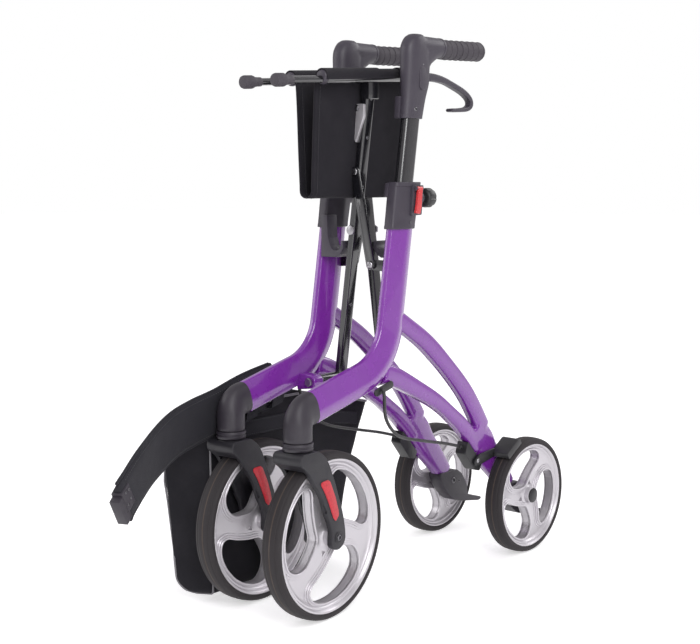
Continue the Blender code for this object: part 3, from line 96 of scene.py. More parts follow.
def bake(piece):
    bpy.context.view_layer.update()
    graph = bpy.context.evaluated_depsgraph_get()
    mesh = bpy.data.meshes.new_from_object(piece.evaluated_get(graph))
    mesh.transform(piece.matrix_world)
    name = piece.name
    bpy.data.objects.remove(piece, do_unlink=True)
    return addObject(name, mesh)


def skin(name, rings, looped=False):
    # a closed skin over rings with the same number of points
    shape = bmesh.new()
    loops = [[shape.verts.new(point) for point in ring] for ring in rings]
    pairs = list(zip(loops, loops[1:]))
    if looped:
        pairs.append((loops[-1], loops[0]))
    for near, far in pairs:
        for i in range(len(near)):
            j = (i + 1) % len(near)
            shape.faces.new((near[i], near[j], far[j], far[i]))
    if not looped:
        shape.faces.new(loops[0])
        shape.faces.new(loops[-1])
    return fromBmesh(name, shape)


def mm(*values):
    # pairs in metres from one row of millimetres
    metres = [round(v / 1000, 6) for v in values]
    return list(zip(metres[::2], metres[1::2]))


def fillet(points, radius, steps=4):
    # rounds each corner of a closed outline with a small curve
    points = [Vector(p) for p in points]
    out = []
    for i, corner in enumerate(points):
        before, after = points[i - 1], points[(i + 1) % len(points)]
        r = radius[i] if isinstance(radius, (list, tuple)) else radius
        a, b = before - corner, after - corner
        reach = min(r, a.length * 0.45, b.length * 0.45)
        start, end = corner + a.normalized() * reach, corner + b.normalized() * reach
        for k in range(steps + 1):
            t = k / steps
            out.append(start * (1 - t) ** 2 + corner * 2 * t * (1 - t) + end * t ** 2)
    return [tuple(p) for p in out]


def curveAt(a, b, c, d, t):
    # a smooth run from b to c that also heeds a and d
    return 0.5 * (2 * b + (c - a) * t + (2 * a - 5 * b + 4 * c - d) * t * t
        + (3 * b - a - 3 * c + d) * t ** 3)


def smoothLine(points, count):
    # even points on a smooth curve through the given ones
    points = [Vector(p) for p in points]
    ends = [points[0] * 2 - points[1]] + points + [points[-1] * 2 - points[-2]]
    fine = []
    for p0, p1, p2, p3 in zip(ends, ends[1:], ends[2:], ends[3:]):
        fine += [curveAt(p0, p1, p2, p3, i / 20) for i in range(20)]
    fine.append(points[-1])
    lengths = [0.0]
    for a, b in zip(fine, fine[1:]):
        lengths.append(lengths[-1] + (b - a).length)
    out, k = [], 0
    for i in range(count + 1):
        target = lengths[-1] * i / count
        while k < len(fine) - 2 and lengths[k + 1] < target:
            k += 1
        span = max(lengths[k + 1] - lengths[k], 1e-9)
        out.append(fine[k].lerp(fine[k + 1], min(max((target - lengths[k]) / span, 0), 1)))
    return out


def directions(line):
    # the way a line runs at each of its points
    last = len(line) - 1
    return [(line[min(i + 1, last)] - line[max(i - 1, 0)]).normalized() for i in range(last + 1)]


def tube(name, points, radius, sides=12, rounded=False):
    # a round bar along points, with flat or domed ends
    points = [Vector(p) for p in points]
    runs = directions(points)
    side = runs[0].orthogonal().normalized()
    frames = []
    for centre, run in zip(points, runs):
        side = (side - run * side.dot(run)).normalized()
        frames.append((centre, run, side, run.cross(side)))

    def ring(frame, ahead, r):
        centre, run, side, up = frame
        if ahead:
            centre = centre + run * ahead
        return [centre + side * r * cos(2 * pi * k / sides) + up * r * sin(2 * pi * k / sides)
            for k in range(sides)]

    def dome(frame, way, angles):
        return [ring(frame, way * radius * sin(radians(a)), radius * cos(radians(a)))
            for a in angles]

    rings = [ring(frame, 0, radius) for frame in frames]
    if rounded:
        rings = dome(frames[0], -1, (80, 55, 30)) + rings + dome(frames[-1], 1, (30, 55, 80))
    return skin(name, rings)


def spin(name, profile, centre, direction, steps=64):
    # (height, radius) pairs turned about an axis; open profiles start and end on it
    turn = Vector(direction).normalized().to_track_quat("Z", "X").to_matrix()
    centre = Vector(centre)
    shape = bmesh.new()
    loops = []
    for height, radius in profile:
        angles = [2 * pi * k / steps for k in range(steps if radius else 1)]
        loops.append([shape.verts.new(centre + turn
            @ Vector((radius * cos(a), radius * sin(a), height))) for a in angles])
    pairs = list(zip(loops, loops[1:]))
    if profile[0][1]:
        pairs.append((loops[-1], loops[0]))
    for near, far in pairs:
        for i in range(steps):
            j = (i + 1) % steps
            if len(near) == 1:
                shape.faces.new((near[0], far[j], far[i]))
            elif len(far) == 1:
                shape.faces.new((near[i], near[j], far[0]))
            else:
                shape.faces.new((near[i], near[j], far[j], far[i]))
    return fromBmesh(name, shape)


def rod(name, low, high, radius, centre, direction, steps):
    # a plain round bar between two heights on its axis
    return spin(name, [(low, 0), (low, radius), (high, radius), (high, 0)], centre, direction,
        steps)


def plateX(name, outline, xLow, xHigh):
    # a side-view outline (Y, Z) given a thickness across X
    return skin(name, [[(x, y, z) for y, z in outline] for x in (xLow, xHigh)])


def plateY(name, outline, yLow, yHigh):
    # a front-view outline (X, Z) given a thickness across Y
    return skin(name, [[(x, y, z) for x, z in outline] for y in (yLow, yHigh)])


def withBoolean(target, tools, operation):
    for tool in tools:
        step = target.modifiers.new(operation, "BOOLEAN")
        step.operation = operation
        step.solver = "EXACT"
        step.object = tool
        target = bake(target)
        bpy.data.objects.remove(tool, do_unlink=True)
    return target


def fuse(target, *tools):
    return withBoolean(target, tools, "UNION")


def cut(target, *tools):
    return withBoolean(target, tools, "DIFFERENCE")


def softEdges(piece, width, segments=2, angle=32):
    step = piece.modifiers.new("edges", "BEVEL")
    step.width = width
    step.segments = segments
    step.limit_method = "ANGLE"
    step.angle_limit = radians(angle)
    step.use_clamp_overlap = True
    return bake(piece)


def moulded(piece, voxel, rounds):
    # an even skin over the shape, smoothed as a casting is
    step = piece.modifiers.new("even", "REMESH")
    step.mode = "VOXEL"
    step.voxel_size = voxel
    soft = piece.modifiers.new("soft", "SMOOTH")
    soft.factor = 0.5
    soft.iterations = rounds
    return bake(piece)


def together(name, *parts):
    # several closed shells as one piece
    shape = bmesh.new()
    for part in parts:
        shape.from_mesh(part.data)
        bpy.data.objects.remove(part, do_unlink=True)
    mesh = bpy.data.meshes.new(name)
    shape.to_mesh(mesh)
    shape.free()
    return addObject(name, mesh)


def mirrorX(piece):
    piece.data.transform(Matrix.Scale(-1, 4, (1, 0, 0)))
    piece.data.flip_normals()
    return piece


def settle(piece, body, finish, nodes=(), crease=38):
    # moves a finished piece into the row's frame, gives it its finish, ties it to its body and
    # hides the nodes it stands for
    piece.data.transform(Matrix.Translation(originShift))
    piece.data.materials.clear()
    piece.data.materials.append(finish)
    piece.data.shade_smooth()
    piece.data.set_sharp_from_angle(angle=radians(crease))
    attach(piece, body)
    if nodes:
        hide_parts(*nodes)


def settleSide(piece, stem, word, bodyStem, finish, nodeStems=(), crease=38):
    piece.name = stem + word.capitalize()
    nodes = [n + "_" + word for n in nodeStems]
    settle(piece, bodyStem + "_" + word, finish, nodes, crease)


def settlePair(piece, stem, bodyStem, finish, nodeStems=(), crease=38, rightSpin=None):
    # the left piece and its mirror, turned with the caster where it rides on one
    other = mirrorX(addObject(stem + "Right", piece.data.copy()))
    if rightSpin:
        axle, angle = rightSpin
        other.data.transform(Matrix.Translation(axle) @ Matrix.Rotation(angle, 4, "X")
            @ Matrix.Translation(-axle))
    piece.name = stem + "Left"
    for each, (side, word) in zip((piece, other), sideWords):
        if bodyStem in ("caster", "front_wheel"):
            axis = Vector((side * sideX, casterY, 0))
            each.data.transform(Matrix.Translation(axis) @ Matrix.Rotation(casterYaw, 4, "Z")
                @ Matrix.Translation(-axis))
        settleSide(each, stem, word, bodyStem, finish, nodeStems, crease)


def newTree(name, kind, inputs, outputs):
    # an input is a number, its default, or the word for another kind of socket
    tree = bpy.data.node_groups.new(name, kind)
    for label, value in inputs.items():
        other = isinstance(value, str)
        socket = tree.interface.new_socket(label, in_out="INPUT",
            socket_type="NodeSocket" + (value if other else "Float"))
        if not other:
            socket.default_value = value
    for label, word in outputs.items():
        tree.interface.new_socket(label, in_out="OUTPUT", socket_type="NodeSocket" + word)
    return tree, tree.nodes.new("NodeGroupInput"), tree.nodes.new("NodeGroupOutput")


def addNode(tree, kind, links=None, **settings):
    node = tree.nodes.new(kind)
    for key, value in settings.items():
        setattr(node, key, value)
    for socket, value in (links or {}).items():
        target = node.inputs[socket]
        if isinstance(value, bpy.types.NodeSocket):
            tree.links.new(value, target)
        else:
            target.default_value = value
    return node


def calc(tree, operation, *values):
    return addNode(tree, "ShaderNodeMath", dict(enumerate(values)), operation=operation).outputs[0]


def noiseAt(tree, scale, **values):
    # noise on the piece's own coordinates
    place = addNode(tree, "ShaderNodeTexCoord")
    cloud = addNode(tree, "ShaderNodeTexNoise", {"Vector": place.outputs["Object"], "Scale": scale,
        **values})
    return cloud.outputs["Fac"]


def grainGroup():
    # fine moulded grain: a height for bump and a light mask for roughness
    group, entry, leave = newTree("mouldGrain", "ShaderNodeTree", {"Scale": 900.0, "Broad": 40.0},
        {"Height": "Float", "Mask": "Float"})
    fine = noiseAt(group, entry.outputs["Scale"], Detail=3.0, Roughness=0.6)
    group.links.new(fine, leave.inputs["Height"])
    group.links.new(noiseAt(group, entry.outputs["Broad"], Detail=4.0), leave.inputs["Mask"])
    return group


def weaveGroup():
    # plain weave over upright faces: threads along (X + Y) and along Z
    group, entry, leave = newTree("plainWeave", "ShaderNodeTree", {"Threads": 900.0},
        {"Height": "Float", "Tint": "Float"})
    place = addNode(group, "ShaderNodeTexCoord")
    split = addNode(group, "ShaderNodeSeparateXYZ", {"Vector": place.outputs["Object"]})
    across = calc(group, "ADD", split.outputs["X"], split.outputs["Y"])
    waves = [calc(group, "SINE", calc(group, "MULTIPLY", way, entry.outputs["Threads"]))
        for way in (across, split.outputs["Z"])]
    half = calc(group, "MULTIPLY_ADD", calc(group, "MULTIPLY", *waves), 0.5, 0.5)
    group.links.new(half, leave.inputs["Height"])
    group.links.new(noiseAt(group, 30.0, Detail=5.0), leave.inputs["Tint"])
    return group


def dustGroup():
    # a thin dusty film in patches
    group, entry, leave = newTree("dustFilm", "ShaderNodeTree", {"Amount": 0.2, "Size": 25.0},
        {"Factor": "Float"})
    cloud = noiseAt(group, entry.outputs["Size"], Detail=6.0, Roughness=0.65)
    shaped = addNode(group, "ShaderNodeMapRange",
        {"Value": cloud, "From Min": 0.45, "From Max": 0.75})
    group.links.new(calc(group, "MULTIPLY", shaped.outputs["Result"], entry.outputs["Amount"]),
        leave.inputs["Factor"])
    return group


grainNodes, weaveNodes, dustNodes = grainGroup(), weaveGroup(), dustGroup()


def newFinish(name, colour, roughness, metallic=0.0, coat=0.0, coatRoughness=0.1, specular=0.5,
        sheen=0.0):
    material = bpy.data.materials.new(name)
    material.use_nodes = True
    shader = material.node_tree.nodes["Principled BSDF"]
    for socket, value in (("Base Color", (*colour, 1)), ("Roughness", roughness),
            ("Metallic", metallic), ("Coat Weight", coat), ("Coat Roughness", coatRoughness),
            ("Specular IOR Level", specular), ("Sheen Weight", sheen)):
        shader.inputs[socket].default_value = value
    material.diffuse_color = (*colour, 1)
    return material, material.node_tree, shader


def mixColours(tree, factor, low, high):
    # the upper colour is given as numbers, the lower one as numbers or a socket
    low = (*low, 1) if isinstance(low, tuple) else low
    return addNode(tree, "ShaderNodeMix", {"Factor": factor, 6: low, 7: (*high, 1)},
        data_type="RGBA").outputs[2]


def dusted(tree, shader, base, amount, size, colour):
    # the base colour under the dusty film
    film = addNode(tree, "ShaderNodeGroup", {"Amount": amount, "Size": size}, node_tree=dustNodes)
    tree.links.new(mixColours(tree, film.outputs["Factor"], base, colour),
        shader.inputs["Base Color"])


def grainFinish(name, colour, colour2, roughness, grain, bump, broad=35.0, metallic=0.0, coat=0.0,
        coatRoughness=0.1, drift=0.05, dust=0.15, dustColour=(0.3, 0.29, 0.3)):
    # plastics, rubbers and paints: colour drift, roughness drift, grain bump and dust
    material, tree, shader = newFinish(name, colour, roughness, metallic, coat, coatRoughness)
    texture = addNode(tree, "ShaderNodeGroup", {"Scale": grain, "Broad": broad},
        node_tree=grainNodes)
    dusted(tree, shader, mixColours(tree, texture.outputs["Mask"], colour, colour2), dust, 22.0,
        dustColour)
    rough = addNode(tree, "ShaderNodeMapRange", {"Value": texture.outputs["Mask"], "From Min": 0.3,
        "From Max": 0.7, "To Min": roughness - drift, "To Max": roughness + drift})
    tree.links.new(rough.outputs["Result"], shader.inputs["Roughness"])
    normal = addNode(tree, "ShaderNodeBump", {"Height": texture.outputs["Height"], "Strength": bump,
        "Distance": 0.0004})
    tree.links.new(normal.outputs["Normal"], shader.inputs["Normal"])
    return material


def clothFinish(name, colour, colour2, roughness, threads, bump, sheen):
    # woven cloth: two thread colours, dust, the weave's bump and a soft unevenness
    material, tree, shader = newFinish(name, colour, roughness, specular=0.35, sheen=sheen)
    shader.inputs["Sheen Roughness"].default_value = 0.45
    cloth = addNode(tree, "ShaderNodeGroup", {"Threads": threads}, node_tree=weaveNodes)
    low = addNode(tree, "ShaderNodeMapRange", {"Value": cloth.outputs["Height"], "To Min": 0.0,
        "To Max": 1.0})
    dusted(tree, shader, mixColours(tree, low.outputs["Result"], colour, colour2), 0.05, 25.0,
        (0.12, 0.115, 0.13))
    rough = addNode(tree, "ShaderNodeBump", {"Height": cloth.outputs["Height"], "Strength": bump,
        "Distance": 0.0005})
    soft = addNode(tree, "ShaderNodeBump", {"Height": cloth.outputs["Tint"], "Strength": 0.25,
        "Distance": 0.003, "Normal": rough.outputs["Normal"]})
    tree.links.new(soft.outputs["Normal"], shader.inputs["Normal"])
    return material


def reflectorFinish(name, colour):
    # small cells, darker towards their edges
    material, tree, shader = newFinish(name, colour, 0.36, coat=0.25, coatRoughness=0.12,
        specular=0.35)
    place = addNode(tree, "ShaderNodeTexCoord")
    cells = addNode(tree, "ShaderNodeTexVoronoi",
        {"Vector": place.outputs["Object"], "Scale": 320.0}).outputs["Distance"]
    tree.links.new(mixColours(tree, cells, colour, tuple(c * 0.7 for c in colour)),
        shader.inputs["Base Color"])
    bump = addNode(tree, "ShaderNodeBump", {"Height": cells, "Strength": 0.25, "Distance": 0.0006})
    tree.links.new(bump.outputs["Normal"], shader.inputs["Normal"])
    return material


violet = grainFinish("violet paint", (0.178, 0.018, 0.308), (0.208, 0.024, 0.352), roughness=0.27,
    grain=60.0, bump=0.004, coat=1.0, coatRoughness=0.04, drift=0.03, dust=0.05,
    dustColour=(0.4, 0.3, 0.55))
charcoal = grainFinish("charcoal plastic", (0.04, 0.034, 0.048), (0.054, 0.047, 0.063),
    roughness=0.46, grain=1400.0, bump=0.16, dust=0.1, dustColour=(0.13, 0.125, 0.14))
elbowPlastic = grainFinish("elbow plastic", (0.024, 0.02, 0.028), (0.033, 0.028, 0.038),
    roughness=0.46, grain=1400.0, bump=0.14, dust=0.1, dustColour=(0.13, 0.12, 0.14))
forkPlastic = grainFinish("fork plastic", (0.011, 0.01, 0.014), (0.017, 0.016, 0.021),
    roughness=0.5, grain=1500.0, bump=0.18, dust=0.1, dustColour=(0.12, 0.115, 0.13))
gripRubber = grainFinish("grip rubber", (0.046, 0.04, 0.05), (0.062, 0.055, 0.066), roughness=0.68,
    grain=1100.0, bump=0.22, dust=0.15, dustColour=(0.14, 0.13, 0.14))
tyreRubber = grainFinish("tyre rubber", (0.015, 0.012, 0.014), (0.023, 0.019, 0.021),
    roughness=0.72, grain=700.0, bump=0.2, dust=0.08, dustColour=(0.1, 0.088, 0.092), broad=22.0)
wornRubber = grainFinish("worn rubber", (0.052, 0.038, 0.032), (0.075, 0.054, 0.044), roughness=0.8,
    grain=500.0, bump=0.2, broad=22.0)
silver = grainFinish("silver paint", (0.56, 0.54, 0.57), (0.62, 0.6, 0.63), roughness=0.38,
    grain=2600.0, bump=0.05, metallic=0.6, coat=0.3, dust=0.08, dustColour=(0.42, 0.41, 0.43),
    drift=0.06)
blackGloss = grainFinish("black gloss tube", (0.006, 0.006, 0.008), (0.01, 0.01, 0.013),
    roughness=0.2, grain=300.0, bump=0.01, coat=1.0, dust=0.02, dustColour=(0.08, 0.075, 0.085))
blackPlastic = grainFinish("black plastic", (0.013, 0.013, 0.015), (0.019, 0.019, 0.021),
    roughness=0.42, grain=1000.0, bump=0.1, dust=0.1, dustColour=(0.1, 0.1, 0.11))
steel = grainFinish("plated steel", (0.3, 0.295, 0.31), (0.4, 0.39, 0.41), roughness=0.3,
    grain=1600.0, bump=0.04, metallic=1.0, dust=0.05, drift=0.08)
darkSteel = grainFinish("dark steel", (0.1, 0.1, 0.11), (0.16, 0.155, 0.165), roughness=0.3,
    grain=1600.0, bump=0.04, metallic=1.0, dust=0.05, drift=0.08)
redPlastic = grainFinish("red plastic", (0.62, 0.03, 0.035), (0.7, 0.045, 0.05), roughness=0.35,
    grain=900.0, bump=0.05, coat=0.4, dust=0.05)
redReflector = reflectorFinish("red reflector", (0.66, 0.022, 0.04))
cableSkin = grainFinish("cable sheath", (0.012, 0.012, 0.013), (0.02, 0.02, 0.021), roughness=0.4,
    grain=1800.0, bump=0.06, dust=0.1)
slingCloth = clothFinish("seat cloth", (0.004, 0.003, 0.006), (0.009, 0.0075, 0.013),
    roughness=0.85, threads=5200.0, bump=0.35, sheen=0.05)
bagCloth = clothFinish("bag cloth", (0.004, 0.0036, 0.006), (0.01, 0.009, 0.014), roughness=0.82,
    threads=4200.0, bump=0.4, sheen=0.05)
bandCloth = clothFinish("band cloth", (0.009, 0.009, 0.013), (0.021, 0.02, 0.027), roughness=0.8,
    threads=4800.0, bump=0.35, sheen=0.06)
piping = grainFinish("piping", (0.2, 0.195, 0.21), (0.25, 0.245, 0.26), roughness=0.7, grain=2000.0,
    bump=0.3, dust=0.1)
thread = grainFinish("thread", (0.05, 0.05, 0.055), (0.07, 0.07, 0.075), roughness=0.7,
    grain=3000.0, bump=0.3, dust=0.0)
print("finishes made")


def newShapeTree(name, sizes):
    return newTree(name, "GeometryNodeTree", {"Geometry": "Geometry", **sizes,
        "Finish": "Material"}, {"Geometry": "Geometry"})


def closeTree(tree, entry, leave, geometry):
    real = addNode(tree, "GeometryNodeRealizeInstances", {"Geometry": geometry})
    paint = addNode(tree, "GeometryNodeSetMaterial",
        {"Geometry": real.outputs[0], "Material": entry.outputs["Finish"]})
    tree.links.new(paint.outputs[0], leave.inputs[0])


def screwTree():
    # a domed head with a hexagon socket at every point, facing along the point's own direction
    tree, entry, leave = newShapeTree("screwHeads", {"Radius": 0.003})
    dome = addNode(tree, "GeometryNodeMeshUVSphere", {"Segments": 20, "Rings": 10, "Radius": 1.0})
    flat = addNode(tree, "GeometryNodeTransform",
        {"Geometry": dome.outputs["Mesh"], "Scale": (1.0, 1.0, 0.55)})
    hexagon = addNode(tree, "GeometryNodeMeshCylinder",
        {"Vertices": 6, "Radius": 0.48, "Depth": 0.8})
    lifted = addNode(tree, "GeometryNodeTransform",
        {"Geometry": hexagon.outputs["Mesh"], "Translation": (0, 0, 0.62)})
    socketed = addNode(tree, "GeometryNodeMeshBoolean",
        {"Mesh 1": flat.outputs[0], "Mesh 2": lifted.outputs[0]}, operation="DIFFERENCE",
        solver="EXACT")
    facing = addNode(tree, "GeometryNodeInputNamedAttribute", {"Name": "facing"},
        data_type="FLOAT_VECTOR")
    turn = addNode(tree, "FunctionNodeAlignRotationToVector", {"Vector": facing.outputs[0]},
        axis="Z")
    size = addNode(tree, "GeometryNodeInputNamedAttribute", {"Name": "size"}, data_type="FLOAT")
    scaled = calc(tree, "MULTIPLY", size.outputs[0], entry.outputs["Radius"])
    points = addNode(tree, "GeometryNodeMeshToPoints", {"Mesh": entry.outputs["Geometry"]})
    heads = addNode(tree, "GeometryNodeInstanceOnPoints",
        {"Points": points.outputs[0], "Instance": socketed.outputs[0], "Rotation": turn.outputs[0],
        "Scale": scaled})
    closeTree(tree, entry, leave, heads.outputs[0])
    return tree


def rowTree(name, sizes, shapeNodes):
    # the same small shape at an even spacing along a line, facing along it
    tree, entry, leave = newShapeTree(name, sizes)
    line = addNode(tree, "GeometryNodeMeshToCurve", {"Mesh": entry.outputs["Geometry"]})
    spots = addNode(tree, "GeometryNodeCurveToPoints",
        {"Curve": line.outputs[0], "Length": entry.outputs["Spacing"]}, mode="LENGTH")
    turn = addNode(tree, "FunctionNodeAlignRotationToVector", {"Vector": spots.outputs["Tangent"]},
        axis="Z")
    row = addNode(tree, "GeometryNodeInstanceOnPoints",
        {"Points": spots.outputs["Points"], "Instance": shapeNodes(tree, entry).outputs[0],
        "Rotation": turn.outputs[0]})
    closeTree(tree, entry, leave, row.outputs[0])
    return tree


def stitchNodes(tree, entry):
    # one short rounded stitch
    bead = addNode(tree, "GeometryNodeMeshUVSphere", {"Segments": 6, "Rings": 4, "Radius": 1.0})
    thickness = entry.outputs["Thickness"]
    size = addNode(tree, "ShaderNodeCombineXYZ",
        {"X": thickness, "Y": thickness, "Z": calc(tree, "MULTIPLY", entry.outputs["Stitch"], 0.5)})
    return addNode(tree, "GeometryNodeTransform",
        {"Geometry": bead.outputs["Mesh"], "Scale": size.outputs[0]})


def ribNodes(tree, entry):
    # one ring, for the grips
    circle = addNode(tree, "GeometryNodeCurvePrimitiveCircle",
        {"Resolution": 40, "Radius": entry.outputs["Radius"]})
    wire = addNode(tree, "GeometryNodeCurvePrimitiveCircle",
        {"Resolution": 8, "Radius": entry.outputs["Wire"]})
    return addNode(tree, "GeometryNodeCurveToMesh",
        {"Curve": circle.outputs[0], "Profile Curve": wire.outputs[0]})


screws = screwTree()
stitches = rowTree("stitchRow", {"Spacing": 0.004, "Stitch": 0.0026, "Thickness": 0.0004},
    stitchNodes)
ribs = rowTree("ringRibs", {"Spacing": 0.008, "Radius": 0.0155, "Wire": 0.0006}, ribNodes)


def grown(carrier, tree, finish, values):
    # runs a tree on a carrier mesh and keeps the result as a plain mesh; inputs go by identifier
    step = carrier.modifiers.new("grown", "NODES")
    step.node_group = tree
    for item in tree.interface.items_tree:
        if item.item_type != "SOCKET" or item.in_out != "INPUT" or item.name == "Geometry":
            continue
        step[item.identifier] = finish if item.name == "Finish" else values[item.name]
    return bake(carrier)


def screwSet(name, spots, radius, finish):
    # spots: (point, direction, size)
    mesh = bpy.data.meshes.new(name)
    mesh.from_pydata([tuple(p) for p, _, _ in spots], [], [])
    mesh.attributes.new("facing", "FLOAT_VECTOR", "POINT")
    mesh.attributes.new("size", "FLOAT", "POINT")
    # looked up by name, because adding a layer moves the ones before it
    for i, (_, direction, scale) in enumerate(spots):
        mesh.attributes["facing"].data[i].vector = Vector(direction).normalized()
        mesh.attributes["size"].data[i].value = scale
    return grown(addObject(name, mesh), screws, finish, {"Radius": radius})


def screwSides(stem, bodyStem, spots, radius, finish):
    # the same screws on both sides, given as they sit on the left
    for side, word in sideWords:
        each = [((side * p[0], p[1], p[2]), (side * d[0], d[1], d[2]), size) for p, d,
            size in spots]
        settleSide(screwSet(stem, each, radius, finish), stem, word, bodyStem, finish)


def stitchLine(name, points, spacing=0.0045, stitch=0.003, thickness=0.00038):
    mesh = bpy.data.meshes.new(name)
    mesh.from_pydata([tuple(p) for p in points], [(i, i + 1) for i in range(len(points) - 1)], [])
    return grown(addObject(name, mesh), stitches, thread,
        {"Spacing": spacing, "Stitch": stitch, "Thickness": thickness})


def squared(value, power):
    # a sine or cosine pushed outwards, which makes a circle a rounded box
    return abs(value) ** power * (1 if value >= 0 else -1)


frameTube = {"depth": 0.049, "halfWidth": 0.0145, "noseHalf": 0.0062, "backHalf": 0.009,
    "widest": 0.033, "bendRadius": 0.094, "midY": -0.0205, "midZ": 0.58, "armY": -0.18,
    "armZ": 0.3365, "topZ": 0.64, "endY": -0.2215}


def columnY(z):
    return frameTube["midY"] + (z - frameTube["midZ"]) * tan(columnTilt)


def armHeight(y):
    return frameTube["armZ"] + tan(armSlope) * (y - frameTube["armY"])


def frameStations(topZ, endY, steps):
    # points down the column, round the bend and along the arm, each with the way to the nose
    s = frameTube
    down = Vector((-sin(columnTilt), -cos(columnTilt)))
    forward = Vector((-cos(armSlope), -sin(armSlope)))
    turn = acos(down.dot(forward))
    slope, lean = tan(armSlope), tan(columnTilt)
    cornerY = (s["midY"] + lean * (s["armZ"] - slope * s["armY"] - s["midZ"])) / (1 - lean * slope)
    corner = Vector((cornerY, armHeight(cornerY)))
    inner = Vector((down.y, -down.x))
    centre = corner - down * s["bendRadius"] * tan(turn / 2) + inner * s["bendRadius"]
    outward = -inner
    stations = [(Vector((columnY(topZ), topZ)), Vector((down.y, -down.x)))]
    for i in range(steps + 1):
        angle = turn * i / steps
        swung = Vector((outward.x * cos(angle) + outward.y * sin(angle),
            outward.y * cos(angle) - outward.x * sin(angle)))
        stations.append((centre + swung * s["bendRadius"], -swung))
    stations.append((Vector((endY, armHeight(endY))), Vector((forward.y, -forward.x))))
    return stations


def frameSection(grow=0.0):
    s = frameTube
    half = [(-grow, s["noseHalf"] * 0.55 + grow), (0.0022, s["noseHalf"] + grow),
        (s["widest"], s["halfWidth"] + grow), (s["depth"] + grow, s["backHalf"] + grow)]
    whole = half + [(d, -w) for d, w in reversed(half)]
    return fillet(whole, [0.002, 0.004, 0.006, 0.0035, 0.0035, 0.006, 0.004, 0.002], 4)


def frameSkin(name, topZ, endY, grow=0.0, steps=30):
    section = frameSection(grow)
    rings = []
    for centre, nose in frameStations(topZ, endY, steps):
        ring = []
        for depth, width in section:
            spot = centre + nose * (frameTube["depth"] / 2 - depth)
            ring.append((sideX + width, spot.x, spot.y))
        rings.append(ring)
    return skin(name, rings)


def arcOf(centre, radius, start, end, steps):
    return [(centre[0] + radius * cos(radians(start + (end - start) * i / steps)),
        centre[1] + radius * sin(radians(start + (end - start) * i / steps)))
        for i in range(steps + 1)]


hinge = {"x": 0.032, "z": 0.339, "pivotZ": 0.5765, "railZ": 0.814, "braceDepth": 0.02,
    "frontY": -0.043, "rearY": -0.008, "barrelFrontY": -0.0945}
link = {"footX": 0.044, "footZ": 0.524, "topZ": 0.668, "thickness": 0.0045, "boss": 0.0012,
    "leftTab": 0.005, "rightTab": 0.013}


def linkTab(side):
    # front and back face of the tab that carries the link, and the way its stud points
    if side > 0:
        face = hinge["frontY"] - hinge["braceDepth"] / 2 - link["boss"]
        return face, face + link["leftTab"], -1
    face = hinge["rearY"] + hinge["braceDepth"] / 2 + link["boss"]
    return face - link["rightTab"], face, 1


def makeFrameTubes():
    for side, word in sideWords:
        lugY = hinge["barrelFrontY"] - 0.0006
        lug = plateY("lug", arcOf((hinge["x"], hinge["z"]), 0.0108, 90, 270, 14)
            + [(0.06, hinge["z"] - 0.015), (0.064, hinge["z"] + 0.012)], lugY - 0.02, lugY)
        body = fuse(frameSkin("frameTube", frameTube["topZ"], frameTube["endY"]),
            softEdges(lug, 0.0016, 3))
        tabFront, tabBack, way = linkTab(side)
        tab = plateY("tab", arcOf((link["footX"], link["footZ"]), 0.0078, 90, 270, 10)
            + [(0.066, link["footZ"] - 0.0095), (0.066, link["footZ"] + 0.0078)], tabFront, tabBack)
        if side < 0:
            body, tab = mirrorX(body), mirrorX(tab)
        settleSide(body, "frameTube", word, "frame", violet, ["frame_tube"])
        settleSide(softEdges(tab, 0.0008), "linkTab", word, "frame", blackGloss)
        braceY = hinge["rearY"] if side > 0 else hinge["frontY"]
        pinBack = braceY + hinge["braceDepth"] / 2 + 0.0016 + 0.0045
        x, z = side * hinge["x"], hinge["z"]
        pin = together("hingePin", spin("head", mm(0, 0, 0, 6.2, 1.2, 7.2, 5, 7.2, 5.8, 6.4,
            5.8, 0), (x, lugY - 0.0205, z), (0, -1, 0), 6),
            rod("shank", 0, pinBack - lugY, 0.0039, (x, lugY, z), (0, 1, 0), 20),
            spin("nut", mm(0, 0, 0, 6.6, 0.8, 7.4, 4.2, 7.4, 5.2, 6.2, 5.2, 0),
            (x, pinBack - 0.0045, z), (0, 1, 0), 6))
        settleSide(pin, "hingePin", word, "frame", steel)
        stud = spin("linkStud", mm(0, 0, 0, 3.2, 5.8, 3.2, 5.8, 5.8, 6.6, 6.2, 8.2, 5, 8.8, 3,
            8.4, 2, 7.4, 1.8, 7.4, 0), (side * link["footX"], tabFront if way < 0 else tabBack,
            link["footZ"]), (0, way, 0), 24)
        settleSide(stud, "linkStud", word, "frame", steel)


def sideRing(centre, run, section):
    # a section set square across a run in the side view, in the middle of a side frame
    return [(sideX + v, centre.x - run.y * u, centre.y + run.x * u) for u, v in section]


def sideBar(name, path, depths, width, count=26):
    # a bar of rounded box section whose depth changes along its path
    line = smoothLine([(y, z, 0) for y, z in path], count)
    sizes = smoothLine([(depth, width, 0) for depth in depths], count)
    rings = []
    for centre, run, size in zip(line, directions(line), sizes):
        angles = [2 * pi * k / 28 for k in range(28)]
        rings.append(sideRing(centre, run, [(squared(cos(a), 0.62) * size.x / 2,
            squared(sin(a), 0.62) * size.y / 2) for a in angles]))
    return skin(name, rings)


